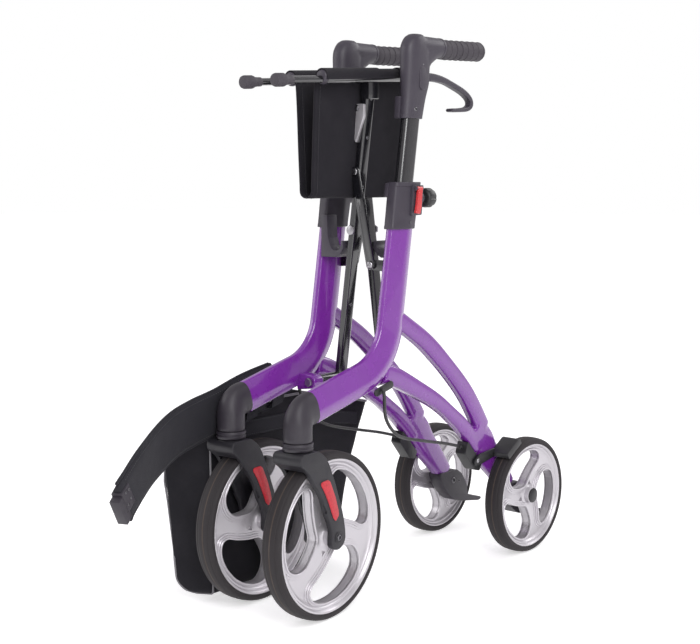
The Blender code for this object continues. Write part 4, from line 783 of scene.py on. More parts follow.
def makeWishbones():
    s = {"width": 0.0232, "voxel": 0.0017, "rounds": 10}
    upper = sideBar("wishbone", mm(-35, 443, -4, 426, 48, 394, 102, 350, 148, 307, 176.5, 273,
        205, 232), [0.03, 0.029, 0.0295, 0.031, 0.03, 0.031, 0.034], s["width"])
    lower = sideBar("lower", mm(-62, 357, -30, 347, 25, 320.5, 79, 292, 131, 255.5, 149, 241,
        172, 219.5, 190, 200), [0.034, 0.031, 0.0285, 0.025, 0.0255, 0.027, 0.03, 0.03], s["width"])
    leg = sideBar("leg", mm(182, 238, 208.5, 203.5, 224.5, 181.5, 249.5, 155, 269, 133, 283, 116.5),
        [0.05, 0.058, 0.054, 0.046, 0.04, 0.037], s["width"])
    whole = moulded(fuse(upper, lower, leg), s["voxel"], s["rounds"])
    whole = cut(whole, plateX("legEnd", mm(200, 119.5, 200, 50, 360, 50, 360, 119.5), 0.03, 0.11))
    settlePair(whole, "wishbone", "frame", violet, ["rear_wishbone"], 60)


def ovalRing(centre, across, up, width, depth, count=32, power=2.4):
    ring = []
    for k in range(count):
        angle = 2 * pi * k / count
        u, v = squared(cos(angle), 2 / power), squared(sin(angle), 2 / power)
        ring.append(Vector(centre) + Vector(up) * depth / 2 * u + Vector(across) * width / 2 * v)
    return ring


def makeElbows():
    s = {"round": 0.0245, "depth": 0.05, "width": 0.0325, "stem": 0.0425, "collar": 0.045}
    start = Vector((frameTube["endY"] + 0.0005, armHeight(frameTube["endY"])))
    forward = Vector((-cos(armSlope), -sin(armSlope)))
    corner = Vector((casterY, armHeight(casterY)))
    turn = acos(forward.dot(Vector((0, -1))))
    inner = Vector((forward.y, -forward.x)) * -s["round"]
    centre = corner - forward * s["round"] * tan(turn / 2) + inner
    rings = []
    for share in (0.0, 0.5, 1.0):
        spot = start.lerp(centre + Vector((-sin(armSlope), cos(armSlope))) * s["round"], share)
        size = 1 - 0.02 * (share == 0)
        rings.append(ovalRing((sideX, spot.x, spot.y), (1, 0, 0),
            (0, -sin(armSlope), cos(armSlope)), s["width"] * size, s["depth"] * size))
    for i in range(1, 15):
        share = i / 14
        ease = share * share * (3 - 2 * share)
        angle = turn * share
        up = Vector((-sin(armSlope + angle), cos(armSlope + angle)))
        spot = centre + up * s["round"]
        rings.append(ovalRing((sideX, spot.x, spot.y), (1, 0, 0), (0, up.x, up.y),
            s["width"] * (1 - ease) + s["stem"] * ease, s["depth"] * (1 - ease) + s["stem"] * ease,
            power=2.4 - 0.4 * ease))
    front = (0, -1, 0)
    stem, collar = s["stem"], s["collar"]
    for z, size in ((0.285, stem), (0.28, stem), (0.2792, stem - 0.0014), (0.279, stem - 0.005),
            (0.278, stem - 0.005), (0.2778, collar - 0.001), (0.2768, collar), (0.2738, collar),
            (0.273, collar - 0.0022), (0.272, collar - 0.0022), (0.2712, collar), (0.2676, collar),
            (0.2666, collar - 0.0015)):
        rings.append(ovalRing((sideX, casterY, z), (1, 0, 0), front, size, size, power=2.0))
    settlePair(skin("elbow", rings), "elbow", "frame", elbowPlastic,
        ["caster_elbow"], 45)
    spots = [((sideX - 0.001, y + 0.006, armHeight(y) - 0.0252), (0, sin(armSlope), -cos(armSlope)),
        1.0) for y in (-0.196, -0.176)]
    screwSides("armScrews", "frame", spots, 0.0042, darkSteel)


wheelSizes = {"front": {"y": casterY + 0.0605, "x": sideX, "radius": 0.127, "spin": 0},
    "rear": {"y": 0.2974, "x": 0.101, "radius": 0.1015, "spin": -56}, "rightSpin": radians(-50),
    "tyreWidth": 0.034, "wall": 0.0105, "hub": 0.0136, "web": 0.0052,
    "window": ((120, 0.8), (119, 0.7), (126, 0.58), (133, 0.48), (145, 0.37), (160, 0.29),
    (178, 0.237), (191, 0.26), (203, 0.33), (210, 0.43), (214, 0.55), (211, 0.67), (206, 0.77),
    (199, 0.85), (187, 0.87), (174, 0.875), (160, 0.875), (146, 0.875), (134, 0.87), (126, 0.85))}


def relaxed(points, rounds):
    # rounds a closed outline off evenly
    points = [Vector(p) for p in points]
    for _ in range(rounds):
        points = [points[i] * 0.5 + (points[i - 1] + points[(i + 1) % len(points)]) * 0.25
            for i in range(len(points))]
    return points


def evenly(points, count):
    # the closed outline again with an even spacing
    points = [Vector(p) for p in points]
    points.append(points[0])
    lengths = [0.0]
    for a, b in zip(points, points[1:]):
        lengths.append(lengths[-1] + (b - a).length)
    out, k = [], 0
    for i in range(count):
        target = lengths[-1] * i / count
        while lengths[k + 1] < target:
            k += 1
        out.append(points[k].lerp(points[k + 1], (target - lengths[k])
            / max(lengths[k + 1] - lengths[k], 1e-9)))
    return out


def borderBand(name, outline, grow, rise, x, y, z, baseX):
    # the raised lip round a window, on one face of the web
    rings = []
    count = len(outline)
    for i, point in enumerate(outline):
        run = (outline[(i + 1) % count] - outline[i - 1]).normalized()
        out = Vector((run.y, -run.x))
        if out.dot(point - sum(outline, Vector((0, 0))) / count) < 0:
            out = -out
        profile = [(0.0003, 0), (0.0003, rise - 0.0005), (0.001, rise), (grow - 0.0006, rise),
            (grow, rise - 0.0006), (grow, 0)]
        rings.append([(x + baseX + (h if baseX > 0 else -h), y + (point + out * o).x,
            z + (point + out * o).y) for o, h in profile])
    return skin(name, rings, looped=True)


def makeWheel(stem, rightSpin=None):
    s = wheelSizes[stem]
    x, y, radius = s["x"], s["y"], s["radius"]
    wide = wheelSizes["tyreWidth"] / 2
    rimRadius = radius - wheelSizes["wall"]
    web, hub = wheelSizes["web"], wheelSizes["hub"]
    half = [(wide - 0.0012, 0.0055), (wide - 0.0004, 0.0065), (wide - 0.0004, hub - 0.0015),
        (wide - 0.0016, hub), (web + 0.0036, hub + 0.0012), (web + 0.001, hub + 0.004),
        (web, hub + 0.009), (web, rimRadius * 0.86), (web + 0.0014, rimRadius * 0.885),
        (web + 0.0018, rimRadius * 0.895), (0.0092, rimRadius * 0.915), (0.0104, rimRadius * 0.925),
        (0.0108, rimRadius * 0.945), (0.012, rimRadius * 0.952), (0.0146, rimRadius * 0.965),
        (0.0154, rimRadius * 0.975), (0.0154, rimRadius - 0.0006), (0.0148, rimRadius)]
    rim = spin(stem + "Rim", half + [(-h, r) for h, r in reversed(half)], (x, y, radius), (1, 0, 0),
        96)
    lips, holes = [], []
    for i in range(3):
        edge = [(rimRadius * share * cos(radians(angle + s["spin"] + 120 * i)),
            rimRadius * share * sin(radians(angle + s["spin"] + 120 * i))) for angle,
            share in wheelSizes["window"]]
        window = evenly(relaxed(evenly(edge, 72), 2), 72)
        holes.append(plateX("hole", [(y + p.x, radius + p.y) for p in window], x - 0.03, x + 0.03))
        for face in (1, -1):
            for reach, rise in mm(3.2, 5.2, 6.2, 3.4, 9.6, 1.6):
                lips.append(borderBand("lip", window, reach, rise, x, y, radius,
                    face * (web - 0.0004)))
    dents = []
    for i in range(3):
        angle = radians(250 + s["spin"] + 120 * i)
        middle = Vector((cos(angle), sin(angle))) * rimRadius * 0.235
        out, across = Vector((cos(angle), sin(angle))), Vector((-sin(angle), cos(angle)))
        corner = [middle + out * 0.0055, middle - out * 0.003 + across * 0.0048,
            middle - out * 0.003 - across * 0.0048]
        for face in (1, -1):
            low, high = sorted((face * (web - 0.003), face * (web + 0.02)))
            dents.append(plateX("dent", [(y + p.x, radius + p.y) for p in corner], x + low,
                x + high))
    rim = together(stem + "Rim", cut(rim, *holes, *dents), *lips)
    settlePair(rim, stem + "Rim", stem + "_wheel", silver, [stem + "_rim"], 32,
        rightSpin)
    tread = [(0.0145, rimRadius - 0.0002), (0.0158, rimRadius + 0.0006),
        (0.0169, rimRadius + 0.0022), (wide, rimRadius + 0.0045), (wide - 0.0003, radius - 0.0042),
        (wide - 0.0016, radius - 0.0026), (wide - 0.0034, radius - 0.0014),
        (wide - 0.0058, radius - 0.0007), (wide - 0.0062, radius - 0.001),
        (wide - 0.0068, radius - 0.001), (wide - 0.0072, radius - 0.0005), (0.005, radius),
        (0, radius)]
    tyre = spin(stem + "Tyre", tread + [(-h, r) for h, r in reversed(tread[:-1])], (x, y, radius),
        (1, 0, 0), 128)
    settlePair(tyre, stem + "Tyre", stem + "_wheel", tyreRubber, [stem + "_tyre"],
        50, rightSpin)
    seam = spin(stem + "Seam", [(-0.0013, radius - 0.0003), (-0.001, radius + 0.0001),
        (0.001, radius + 0.0001), (0.0013, radius - 0.0003)], (x, y, radius), (1, 0, 0), 128)
    settlePair(seam, stem + "Seam", stem + "_wheel", wornRubber, (), 50, rightSpin)


def makeForks():
    s = {"half": 0.0271, "gap": 0.0185, "crownZ": 0.2655, "armRadius": 0.0187}
    axle = (wheelSizes["front"]["y"], wheelSizes["front"]["radius"])
    outline = [(-0.2767, 0.2582), (-0.272, s["crownZ"]), (-0.2344, s["crownZ"]), (-0.2228, 0.258),
        (-0.2157, 0.251), (-0.2087, 0.2408), (-0.2016, 0.2245), (-0.1956, 0.2113),
        (-0.1885, 0.1917), (-0.18, 0.1702), (-0.1751, 0.1538), (-0.1715, 0.1346)]
    outline += arcOf(axle, s["armRadius"], -8, -150, 16)
    outline += mm(-204.3, 135, -209, 152.3, -218.4, 169.4, -225.3, 190.4, -234.6, 204.3,
        -248.3, 221.8, -256.5, 234.5, -266, 243, -274.5, 248.5)
    fork = plateX("fork", fillet(outline, 0.004, 3), sideX - s["half"], sideX + s["half"])
    fork = softEdges(fork, 0.0018, 3, 50)
    slot = rod("slot", -s["gap"], s["gap"], axle[1] + 0.0045, (sideX, *axle), (1, 0, 0), 96)
    scoops = []
    for face in (1, -1):
        low, high = sorted((face * 0.024, face * 0.04))
        scoops.append(plateX("scoop", fillet(mm(-265, 233, -264, 240.5, -256, 233, -245, 217,
            -233, 201, -225, 188, -215, 169, -230, 169, -260, 210), 0.003, 3), sideX + low,
            sideX + high))
    fork = cut(fork, slot, *scoops)
    fork = softEdges(fork, 0.0006, 2, 40)
    settlePair(fork, "fork", "caster", forkPlastic, ["fork"], 34)
    neck = spin("forkNeck", mm(0, 0, 0, 21.5, 1, 22.2, 2.2, 22.2, 3, 20.5, 3.4, 0),
        (sideX, casterY, 0.2628), (0, 0, 1), 48)
    settlePair(neck, "forkNeck", "caster", blackPlastic, (), 40)
    face = sideX + s["half"]
    edge = mm(-231.4, 217, -229, 218.8, -214.8, 219.7, -210.1, 215.8, -198.2, 190.9, -191.1, 169.7,
        -189.9, 161.8, -197.2, 153.6, -203.2, 160.2, -212.7, 181.9, -222.1, 200.3, -231.4, 214.1)
    middle = sum((Vector(p) for p in edge), Vector((0, 0))) / len(edge)
    outer = [tuple(Vector(p) + (Vector(p) - middle).normalized() * 0.0018) for p in edge]
    frameBand = plateX("frameBand", fillet(outer, 0.003, 4), face - 0.002, face + 0.0006)
    settlePair(softEdges(frameBand, 0.0004), "reflectorFrame", "caster", forkPlastic,
        (), 38)
    glass = softEdges(plateX("glass", fillet(edge, 0.0025, 4), face - 0.001, face + 0.0018), 0.0007,
        3)
    inside = softEdges(plateX("glass", fillet(edge, 0.0025, 4), sideX - s["half"] - 0.0012,
        sideX - s["half"] + 0.001), 0.0005, 3)
    settlePair(together("glass", glass, inside), "reflector", "caster", redReflector,
        ["fork_reflector"])
    for face, word in ((1, "Outer"), (-1, "Inner")):
        washer = spin("axleWasher" + word, mm(-1, 0, -1, 8, 0.6, 8.4, 1.4, 7.8, 1.4, 6, 0.6, 5.6,
            0.6, 0), (sideX + face * s["half"], *axle), (face, 0, 0), 40)
        settlePair(washer, "axleWasher" + word, "caster", forkPlastic, (), 40)
        head = spin("axleHead" + word, mm(0, 0, 0, 4.6, 2, 4.8, 2.6, 4.2, 2.6, 2.6, 1.2, 2.4,
            1.2, 0), (sideX + face * s["half"], *axle), (face, 0, 0), 6 if face < 0 else 24)
        settlePair(head, "axleHead" + word, "caster", darkSteel, (), 40)
    shaft = rod("frontAxle", -s["half"], s["half"], 0.0048, (sideX, *axle), (1, 0, 0), 24)
    settlePair(shaft, "frontAxle", "caster", steel, ["front_axle"], 38)

    makeWheel("front", (Vector((-sideX, *axle)), wheelSizes["rightSpin"]))


def makeRearWheels():
    makeWheel("rear")
    s = {"footOuter": 0.0835, "capX": 0.1176, "capRadius": 0.013}
    x, r = s["capX"], s["capRadius"]
    centre = (0.0, wheelSizes["rear"]["y"], wheelSizes["rear"]["radius"])
    cap = together("hubCap", rod("stub", s["footOuter"], x, 0.005, centre, (1, 0, 0), 24),
        spin("dome", [(x, 0), (x, r - 0.001), (x + 0.0008, r), (x + 0.0022, r - 0.0004),
        (x + 0.0038, r - 0.0034), (x + 0.0045, r - 0.008), (x + 0.0046, 0)], centre, (1, 0, 0), 40))
    settlePair(cap, "hubCap", "frame", blackPlastic, ["rear_axle"], 40)


def makeRearFeet():
    s = {"inner": 0.0558, "outer": 0.0835, "edge": 0.0028}
    outline = mm(257, 120, 309, 120, 323.9, 110.2, 336, 94, 341.5, 83.5, 342, 67.5, 360, 60,
        385, 54, 387, 50, 379.5, 47.4, 324.6, 56.7, 302.6, 62.6, 283, 77, 271.4, 89.5, 260, 108)
    foot = softEdges(plateX("rearFoot", fillet(outline, 0.004, 3), s["inner"], s["outer"]),
        s["edge"], 4, 50)
    settlePair(foot, "rearFoot", "frame", elbowPlastic, ["rear_foot"], 40)
    bolts = [((s["inner"] + 0.0006, y, z), (-1, 0, 0), size) for y, z,
        size in ((wheelSizes["rear"]["y"], wheelSizes["rear"]["radius"], 1.5),
        (0.3152, 0.0978, 0.7))]
    screwSides("footBolts", "frame", bolts, 0.004, darkSteel)


cable = {"radius": 0.0026, "end": (sideX, 0.1425, 0.2085)}
grommet = {"mid": (-0.072, 0.3355), "length": 0.046, "half": 0.006, "depth": 0.0032,
    "inner": sideX + 0.0118}


def makeBrakes():
    housing = plateX("brakeHousing", fillet(mm(153.5, 216, 194, 172, 187, 160, 172, 164, 145, 196),
        0.003, 3), 0.06, 0.0815)
    housing = softEdges(housing, 0.0022, 3, 40)
    barrel = spin("barrel", mm(0, 0, 0, 3.6, 1, 4.5, 4.5, 4.5, 4.8, 3.8, 5.6, 3.8, 6, 4.6, 9.8, 4.6,
        10.8, 4, 10.8, 0), cable["end"], Vector((sideX, 0.153, 0.205)) - Vector(cable["end"]), 24)
    settlePair(together("brakeHousing", housing, barrel), "brakeHousing", "frame", blackPlastic,
        ["brake_housing"], 40)
    angle = radians(121.3)
    out = Vector((cos(angle), sin(angle)))
    back = Vector((sin(angle), -cos(angle)))
    radius, half = wheelSizes["rear"]["radius"], 0.022
    hub = Vector((wheelSizes["rear"]["y"], radius))
    near, far = radius + 0.0014, radius + 0.014
    block = [hub + out * near - back * half, hub + out * near + back * half,
        hub + out * (far - 0.003) + back * half, hub + out * far + back * 0.017,
        hub + out * far - back * half]
    pivot = Vector((0.176, 0.18))
    face = 0.0821
    arm = plateX("brakeShoe", fillet([tuple(pivot + Vector(p)) for p in mm(-10, 1, -7, -8, 2, -9)]
        + [tuple(block[0] + back * 0.006), tuple(block[4] + back * 0.01)]
        + [tuple(pivot + Vector((0.004, 0.01)))], 0.003, 3), face, face + 0.0045)
    pad = plateX("pad", fillet([tuple(p) for p in block], 0.002, 3), face + 0.0005, 0.117)
    shoe = fuse(softEdges(arm, 0.0009), softEdges(pad, 0.0014, 3))
    settlePair(shoe, "brakeShoe", "shoe", blackPlastic, ["brake_shoe"], 40)
    screwSides("shoeScrew", "shoe", [((face + 0.0042, pivot.x, pivot.y), (1, 0, 0), 1.0)], 0.0042,
        steel)
    tilt = 14.5
    middle = Vector(grommet["mid"])
    reach = Vector((cos(armSlope), sin(armSlope))) * (grommet["length"] / 2 - grommet["half"])
    oval = arcOf(tuple(middle + reach), grommet["half"], tilt - 90, tilt + 90, 12)
    oval += arcOf(tuple(middle - reach), grommet["half"], tilt + 90, tilt + 270, 12)
    plug = softEdges(plateX("grommet", oval, grommet["inner"], grommet["inner"] + grommet["depth"]),
        0.0012, 3, 60)
    settlePair(plug, "cableGrommet", "frame", blackPlastic, ["cable_grommet"])
    wayOut = grommet["inner"] + grommet["depth"] + 0.0003
    guide = [(wayOut - 0.001, -0.08, 0.335), (wayOut + 0.0034, -0.08, 0.335),
        (0.0905, -0.0792, 0.325), (0.0895, -0.0775, 0.312), (0.087, -0.071, 0.289),
        (0.0825, -0.048, 0.265), (0.0785, -0.018, 0.2495), (0.075, 0.04, 0.2345),
        (0.072, 0.098, 0.221), cable["end"]]
    wire = tube("brakeCable", smoothLine(guide, 90), cable["radius"], 16)
    settlePair(wire, "brakeCable", "frame", cableSkin, ["brake_cable"], 60)


def makeSleeves():
    s = {"low": 0.5795, "top": 0.652, "wall": sideX - 0.0075, "latchX": 0.0935, "latchZ": 0.642,
        "roomZ": 0.6403, "knobY": 0.029, "knobZ": 0.627, "cradle": 0.0122}
    low = mm(-47.5, 8.4, -38, 11.2, -12, 16.7, 6.6, 11.2)
    high = mm(-37, 8.8, -26, 11.8, -1, 17, 20.5, 11.8)
    rings = []
    heights = [(s["low"], -0.0006), (s["low"] + 0.001, 0.0004), (s["low"] + 0.005, 0.0004),
        (s["low"] + 0.0058, 0.0), (0.6, 0), (0.62, 0), (0.64, 0), (s["top"] - 0.0072, 0),
        (s["top"] - 0.0065, 0.0011), (s["top"] - 0.001, 0.0011), (s["top"], -0.0002)]
    for z, grow in heights:
        share = (z - s["low"]) / (s["top"] - s["low"])
        half = [(a[0] + (b[0] - a[0]) * share, a[1] + (b[1] - a[1]) * share + grow) for a,
            b in zip(low, high)]
        whole = half + [(y, -w) for y, w in reversed(half)]
        rings.append([(sideX + w, y, z) for y, w in fillet(whole, 0.004, 4)])
    sleeve = skin("sleeve", rings)
    pad = softEdges(plateX("pad", fillet(mm(-13, 600, 12, 601, 16.5, 647, -9, 647), 0.002, 3),
        sideX + 0.008, sideX + 0.0203), 0.001, 2)
    boss = spin("boss", mm(0, 0, 0, 9.5, 24.5, 9.5, 25.5, 8.5, 25.5, 0), (sideX, 0.008, s["knobZ"]),
        (0, 1, 0), 32)
    ears = [(sideX + 0.014, s["latchZ"] - 0.004), (s["latchX"], s["latchZ"] - 0.0034),
        (s["latchX"] + 0.0032, s["latchZ"]), (s["latchX"], s["latchZ"] + 0.0034),
        (sideX + 0.014, s["latchZ"] + 0.004)]
    sleeve = fuse(sleeve, pad, boss, softEdges(plateY("ear", ears, -0.0072, -0.0047), 0.0004),
        softEdges(plateY("ear", ears, 0.0077, 0.0102), 0.0004))
    sleeve = cut(sleeve, frameSkin("room", s["roomZ"], frameTube["endY"], 0.0002, 12),
        columnRoom("bore", 0.0366, 0.0176, (0.6, 0.66)),
        rod("knobHole", 0, 0.02, 0.006, (sideX, 0.0205, s["knobZ"]), (0, 1, 0), 24))
    clip = softEdges(plateX("clip", fillet(mm(-42, 629, -34, 629, -33, 650, -39, 650.5), 0.002, 3),
        sideX - 0.012, sideX - 0.005), 0.0012)
    pin = rod("latchPin", 0, 0.015, 0.0014, (s["latchX"], -0.006, s["latchZ"]), (0, 1, 0), 16)
    settlePair(together("sleeve", sleeve, clip, pin), "sleeve", "frame", charcoal,
        ["sleeve"], 36)
    for side, word, lowY, highY, railX, seatZ in ((1, "left", -0.0195, 0.0065, 0.0341, 0.5572),
            (-1, "right", -0.0545, -0.031, 0.032, 0.5557)):
        # the saddle that the seat rail lands in when the frame is opened
        inner = s["cradle"]
        edge = [(s["wall"], 0.5995), (s["wall"] - 0.0125, 0.5995),
            (railX + inner + 0.004, seatZ + 0.008)]
        edge += arcOf((railX, seatZ), inner, -10, -168, 14)
        edge += [(railX - inner - 0.0002, 0.5595), (railX - inner - 0.004, 0.559),
            (railX - inner - 0.0042, 0.548), (railX - inner + 0.003, 0.5375),
            (railX - 0.001, 0.533), (s["wall"], 0.533)]
        saddle = softEdges(plateY("saddle", fillet(edge, 0.0006, 2), lowY, highY), 0.0007, 2, 45)
        saddle = cut(saddle, frameSkin("room", s["roomZ"], frameTube["endY"], 0.0003, 12))
        if side < 0:
            saddle = mirrorX(saddle)
        settleSide(saddle, "saddle", word, "frame", charcoal, (), 40)
    knob = spin("heightKnob", mm(-8, 0, -8, 5.4, 9.5, 5.4, 10, 10, 10.8, 12.8, 13.5, 15, 17.5, 15.5,
        26.2, 15.5, 28.5, 14.6, 29.8, 12, 30, 6, 29.6, 0), (sideX, s["knobY"], s["knobZ"]),
        (0, 1, 0), 48)
    dents = []
    for i in range(6):
        angle = 2 * pi * i / 6
        dents.append(rod("dent", 0.014, 0.04, 0.0036,
            (sideX + 0.0172 * cos(angle), s["knobY"], s["knobZ"] + 0.0172 * sin(angle)), (0, 1, 0),
            20))
    knob = softEdges(cut(knob, *dents), 0.0008, 2, 40)
    settlePair(knob, "heightKnob", "knob", blackPlastic, ["height_knob"], 40)
    latchX, latchZ = s["latchX"], s["latchZ"]
    flap = softEdges(plateX("heightLatch", fillet(
        [(-0.0095, 0.604), (0.001, 0.6025), (0.0045, 0.615), (0.0068, latchZ), (-0.003, latchZ),
        (-0.0055, 0.62)], 0.0016, 3), latchX - 0.0018, latchX + 0.0028), 0.0009, 3)
    roll = rod("roll", 0, 0.0118, 0.003, (latchX, -0.0044, latchZ), (0, 1, 0), 24)
    settlePair(together("heightLatch", flap, roll), "heightLatch", "latch", redPlastic,
        ["height_latch"])
    screwSides("sleeveScrew", "frame", [((sideX + 0.0168, -0.011, 0.59), (1, 0, 0), 0.55)], 0.004,
        darkSteel)


def columnRoom(name, depth, width, heights, steps=8):
    # the inner tube's flat-sided oval section, leaning with the column
    radius = width / 2
    section = []
    for end in (1, -1):
        for i in range(steps + 1):
            angle = end * pi / 2 - pi * i / steps
            section.append((end * (depth / 2 - radius) + radius * cos(angle), radius * sin(angle)))
    return skin(name, [[(sideX + v, columnY(z) + tubeOff + u, z) for u, v in section]
        for z in heights])


def blended(rows, steps):
    # a smooth run through rows of numbers, the same number of steps between each two
    out = []
    for k in range(len(rows) - 1):
        near = rows[max(k - 1, 0)], rows[k], rows[k + 1], rows[min(k + 2, len(rows) - 1)]
        out += [tuple(curveAt(*four, i / steps) for four in zip(*near)) for i in range(steps)]
    out.append(rows[-1])
    return out


def makeHandles():
    s = {"lowZ": 0.522, "topZ": 0.784, "gripY": 0.08, "gripZ": 0.861, "gripLength": 0.114,
        "gripRadius": 0.0155, "rise": radians(2.4), "voxel": 0.0014, "rounds": 5,
        "ovals": ((0.75, 0.0235, 0.044, 0.0085), (0.78, 0.0255, 0.0486, 0.0137),
        (0.804, 0.029, 0.0556, 0.018), (0.82, 0.03, 0.0563, 0.0186),
        (0.8355, 0.0315, 0.0567, 0.019), (0.853, 0.032, 0.0555, 0.0185),
        (0.864, 0.031, 0.05, 0.0185), (0.8746, 0.026, 0.036, 0.019), (0.88, 0.015, 0.02, 0.02))}
    inner = columnRoom("innerTube", 0.036, 0.017, (s["lowZ"], 0.6, 0.7, s["topZ"]))
    settlePair(inner, "innerTube", "handle", blackGloss, ["inner_tube"], 50)
    body = skin("casting", [ovalRing((sideX, middle, z), (1, 0, 0), (0, 1, 0), width + 0.001,
        depth + 0.001, 40, 2.5) for z, width, depth, middle in blended(s["ovals"], 5)])
    root = skin("root", [ovalRing((sideX, y, z), (1, 0, 0), (0, -0.55, 0.83), width, depth, 40, 2.2)
        for y, z, width, depth in ((0.03, 0.84, 0.03, 0.042), (0.042, 0.85, 0.0305, 0.036),
        (0.056, 0.857, 0.031, 0.033), (0.07, 0.861, 0.0316, 0.0318))])
    body = fuse(body, root)
    neck = spin("neck", mm(0, 0, 0, 15, 4, 16, 66.5, 16, 70, 15.6, 70, 0), (sideX, 0.01, 0.8624),
        (0, 1, 0), 48)
    casting = moulded(fuse(body, neck), s["voxel"], s["rounds"])
    casting = cut(casting, columnRoom("sock", 0.0366, 0.0176, (0.74, 0.77)),
        plateX("slot", mm(18, 839, 56, 839, 56, 786, 18, 796), sideX - 0.0073, sideX + 0.0073))
    settlePair(casting, "handleCasting", "handle", charcoal, ["handle_casting"],
        60)
    cap = softEdges(plateX("sideCap", arcOf((0.0195, 0.822), 0.008, 0, 180, 12)
        + arcOf((0.0195, 0.802), 0.008, 180, 360, 12), sideX + 0.01, sideX + 0.0164), 0.0012, 3, 50)
    lip = []
    for z, grow in mm(750, 0.4, 750.6, 1, 755.5, 1, 756.2, 0.2):
        lip.append(ovalRing((sideX, 0.009, z), (1, 0, 0), (0, 1, 0), 0.0237 + 2 * grow,
            0.0443 + 2 * grow, 40, 2.2))
    collar = cut(skin("collar", lip), columnRoom("sock", 0.0366, 0.0176, (0.735, 0.765)))
    clip = softEdges(plateX("clip", fillet(mm(-17.5, 750, -11.5, 750, -7.5, 783.5, -15, 784), 0.002,
        3), sideX - 0.012, sideX - 0.003), 0.001)
    seam = spin("seam", mm(66, 15, 66, 16.4, 70, 16.4, 70.6, 15.8, 70.6, 15), (sideX, 0.01, 0.8624),
        (0, 1, 0), 48)
    settlePair(together("castingTrim", cap, collar, clip, seam), "castingTrim", "handle", charcoal,
        (), 40)
    dot = spin("capDot", mm(0, 0, 0, 1.2, 0.4, 1.2, 0.5, 0), (sideX + 0.0158, 0.0202, 0.833),
        (1, 0, 0), 16)
    settlePair(dot, "capDot", "handle", piping, (), 40)
    screwSides("castingScrew", "handle", [((sideX + 0.0118, 0.0057, 0.7643), (1, 0, 0), 1.0)],
        0.0036, darkSteel)
    rise = Vector((0, cos(s["rise"]), sin(s["rise"])))
    start = Vector((sideX, s["gripY"], s["gripZ"]))
    r, length = s["gripRadius"], s["gripLength"]
    profile = [(0.0008, 0), (0.0008, r - 0.003), (0.0014, r - 0.0012), (0.003, r - 0.0003),
        (0.01, r), (0.04, r - 0.0004), (0.075, r), (length - 0.012, r),
        (length - 0.007, r - 0.0012), (length - 0.003, r - 0.004), (length - 0.0008, r - 0.0085),
        (length, r - 0.0125), (length, 0)]
    grip = spin("grip", profile, start, rise, 64)
    lineMesh = bpy.data.meshes.new("ribLine")
    lineMesh.from_pydata([tuple(start + rise * 0.016), tuple(start + rise * 0.103)], [(0, 1)], [])
    ringSet = grown(addObject("gripRibs", lineMesh), ribs, gripRubber,
        {"Spacing": 0.0145, "Radius": r - 0.0001, "Wire": 0.0006})
    settlePair(grip, "grip", "handle", gripRubber, ["grip"], 45)
    settlePair(ringSet, "gripRibs", "handle", gripRubber, (), 60)
    band = smoothLine([(y, z, 0) for y, z in mm(30, 815, 62, 816, 90, 813, 117, 806, 144, 797,
        160, 787, 162.5, 777, 152, 770.5, 130, 768, 107, 767)], 70)
    rings = []
    for i, (centre, run) in enumerate(zip(band, directions(band))):
        share = i / 70
        deep = 0.0086 - 0.003 * max(0, share - 0.55) / 0.45 + 0.006 * max(0, 1 - share / 0.35)
        wide = 0.0128 + 0.0012 * max(0, share - 0.55) / 0.45
        if i in (0, 70):
            deep, wide = deep * 0.6, wide * 0.8
        rings.append(sideRing(centre, run, fillet(
            [(deep / 2, wide / 2), (-deep / 2, wide / 2), (-deep / 2, -wide / 2),
            (deep / 2, -wide / 2)], 0.0022, 3)))
    lever = skin("brakeLever", rings)
    boss = rod("boss", -0.0064, 0.0064, 0.008, (sideX, 0.033, 0.815), (1, 0, 0), 32)
    settlePair(together("brakeLever", lever, boss), "brakeLever", "lever", charcoal,
        ["brake_lever"], 45)


braceArm = Vector((hinge["x"], hinge["pivotZ"] - hinge["z"])).length
braceLean = acos((hinge["pivotZ"] - hinge["z"]) / braceArm)
rail = {"radius": 0.011, "frontY": -0.157, "length": 0.242, "tilt": radians(4.0), "rod": 0.0055,
    "drop": 0.0035, "reach": 0.097, "tipLength": 0.036}
railWay = Vector((0, cos(rail["tilt"]), sin(rail["tilt"])))


def bracePoint(side, distance):
    lean = side * braceLean
    return (-distance * sin(lean), hinge["pivotZ"] + distance * cos(lean))


def railZ(y):
    return hinge["railZ"] + (y - hinge["frontY"]) * tan(rail["tilt"])


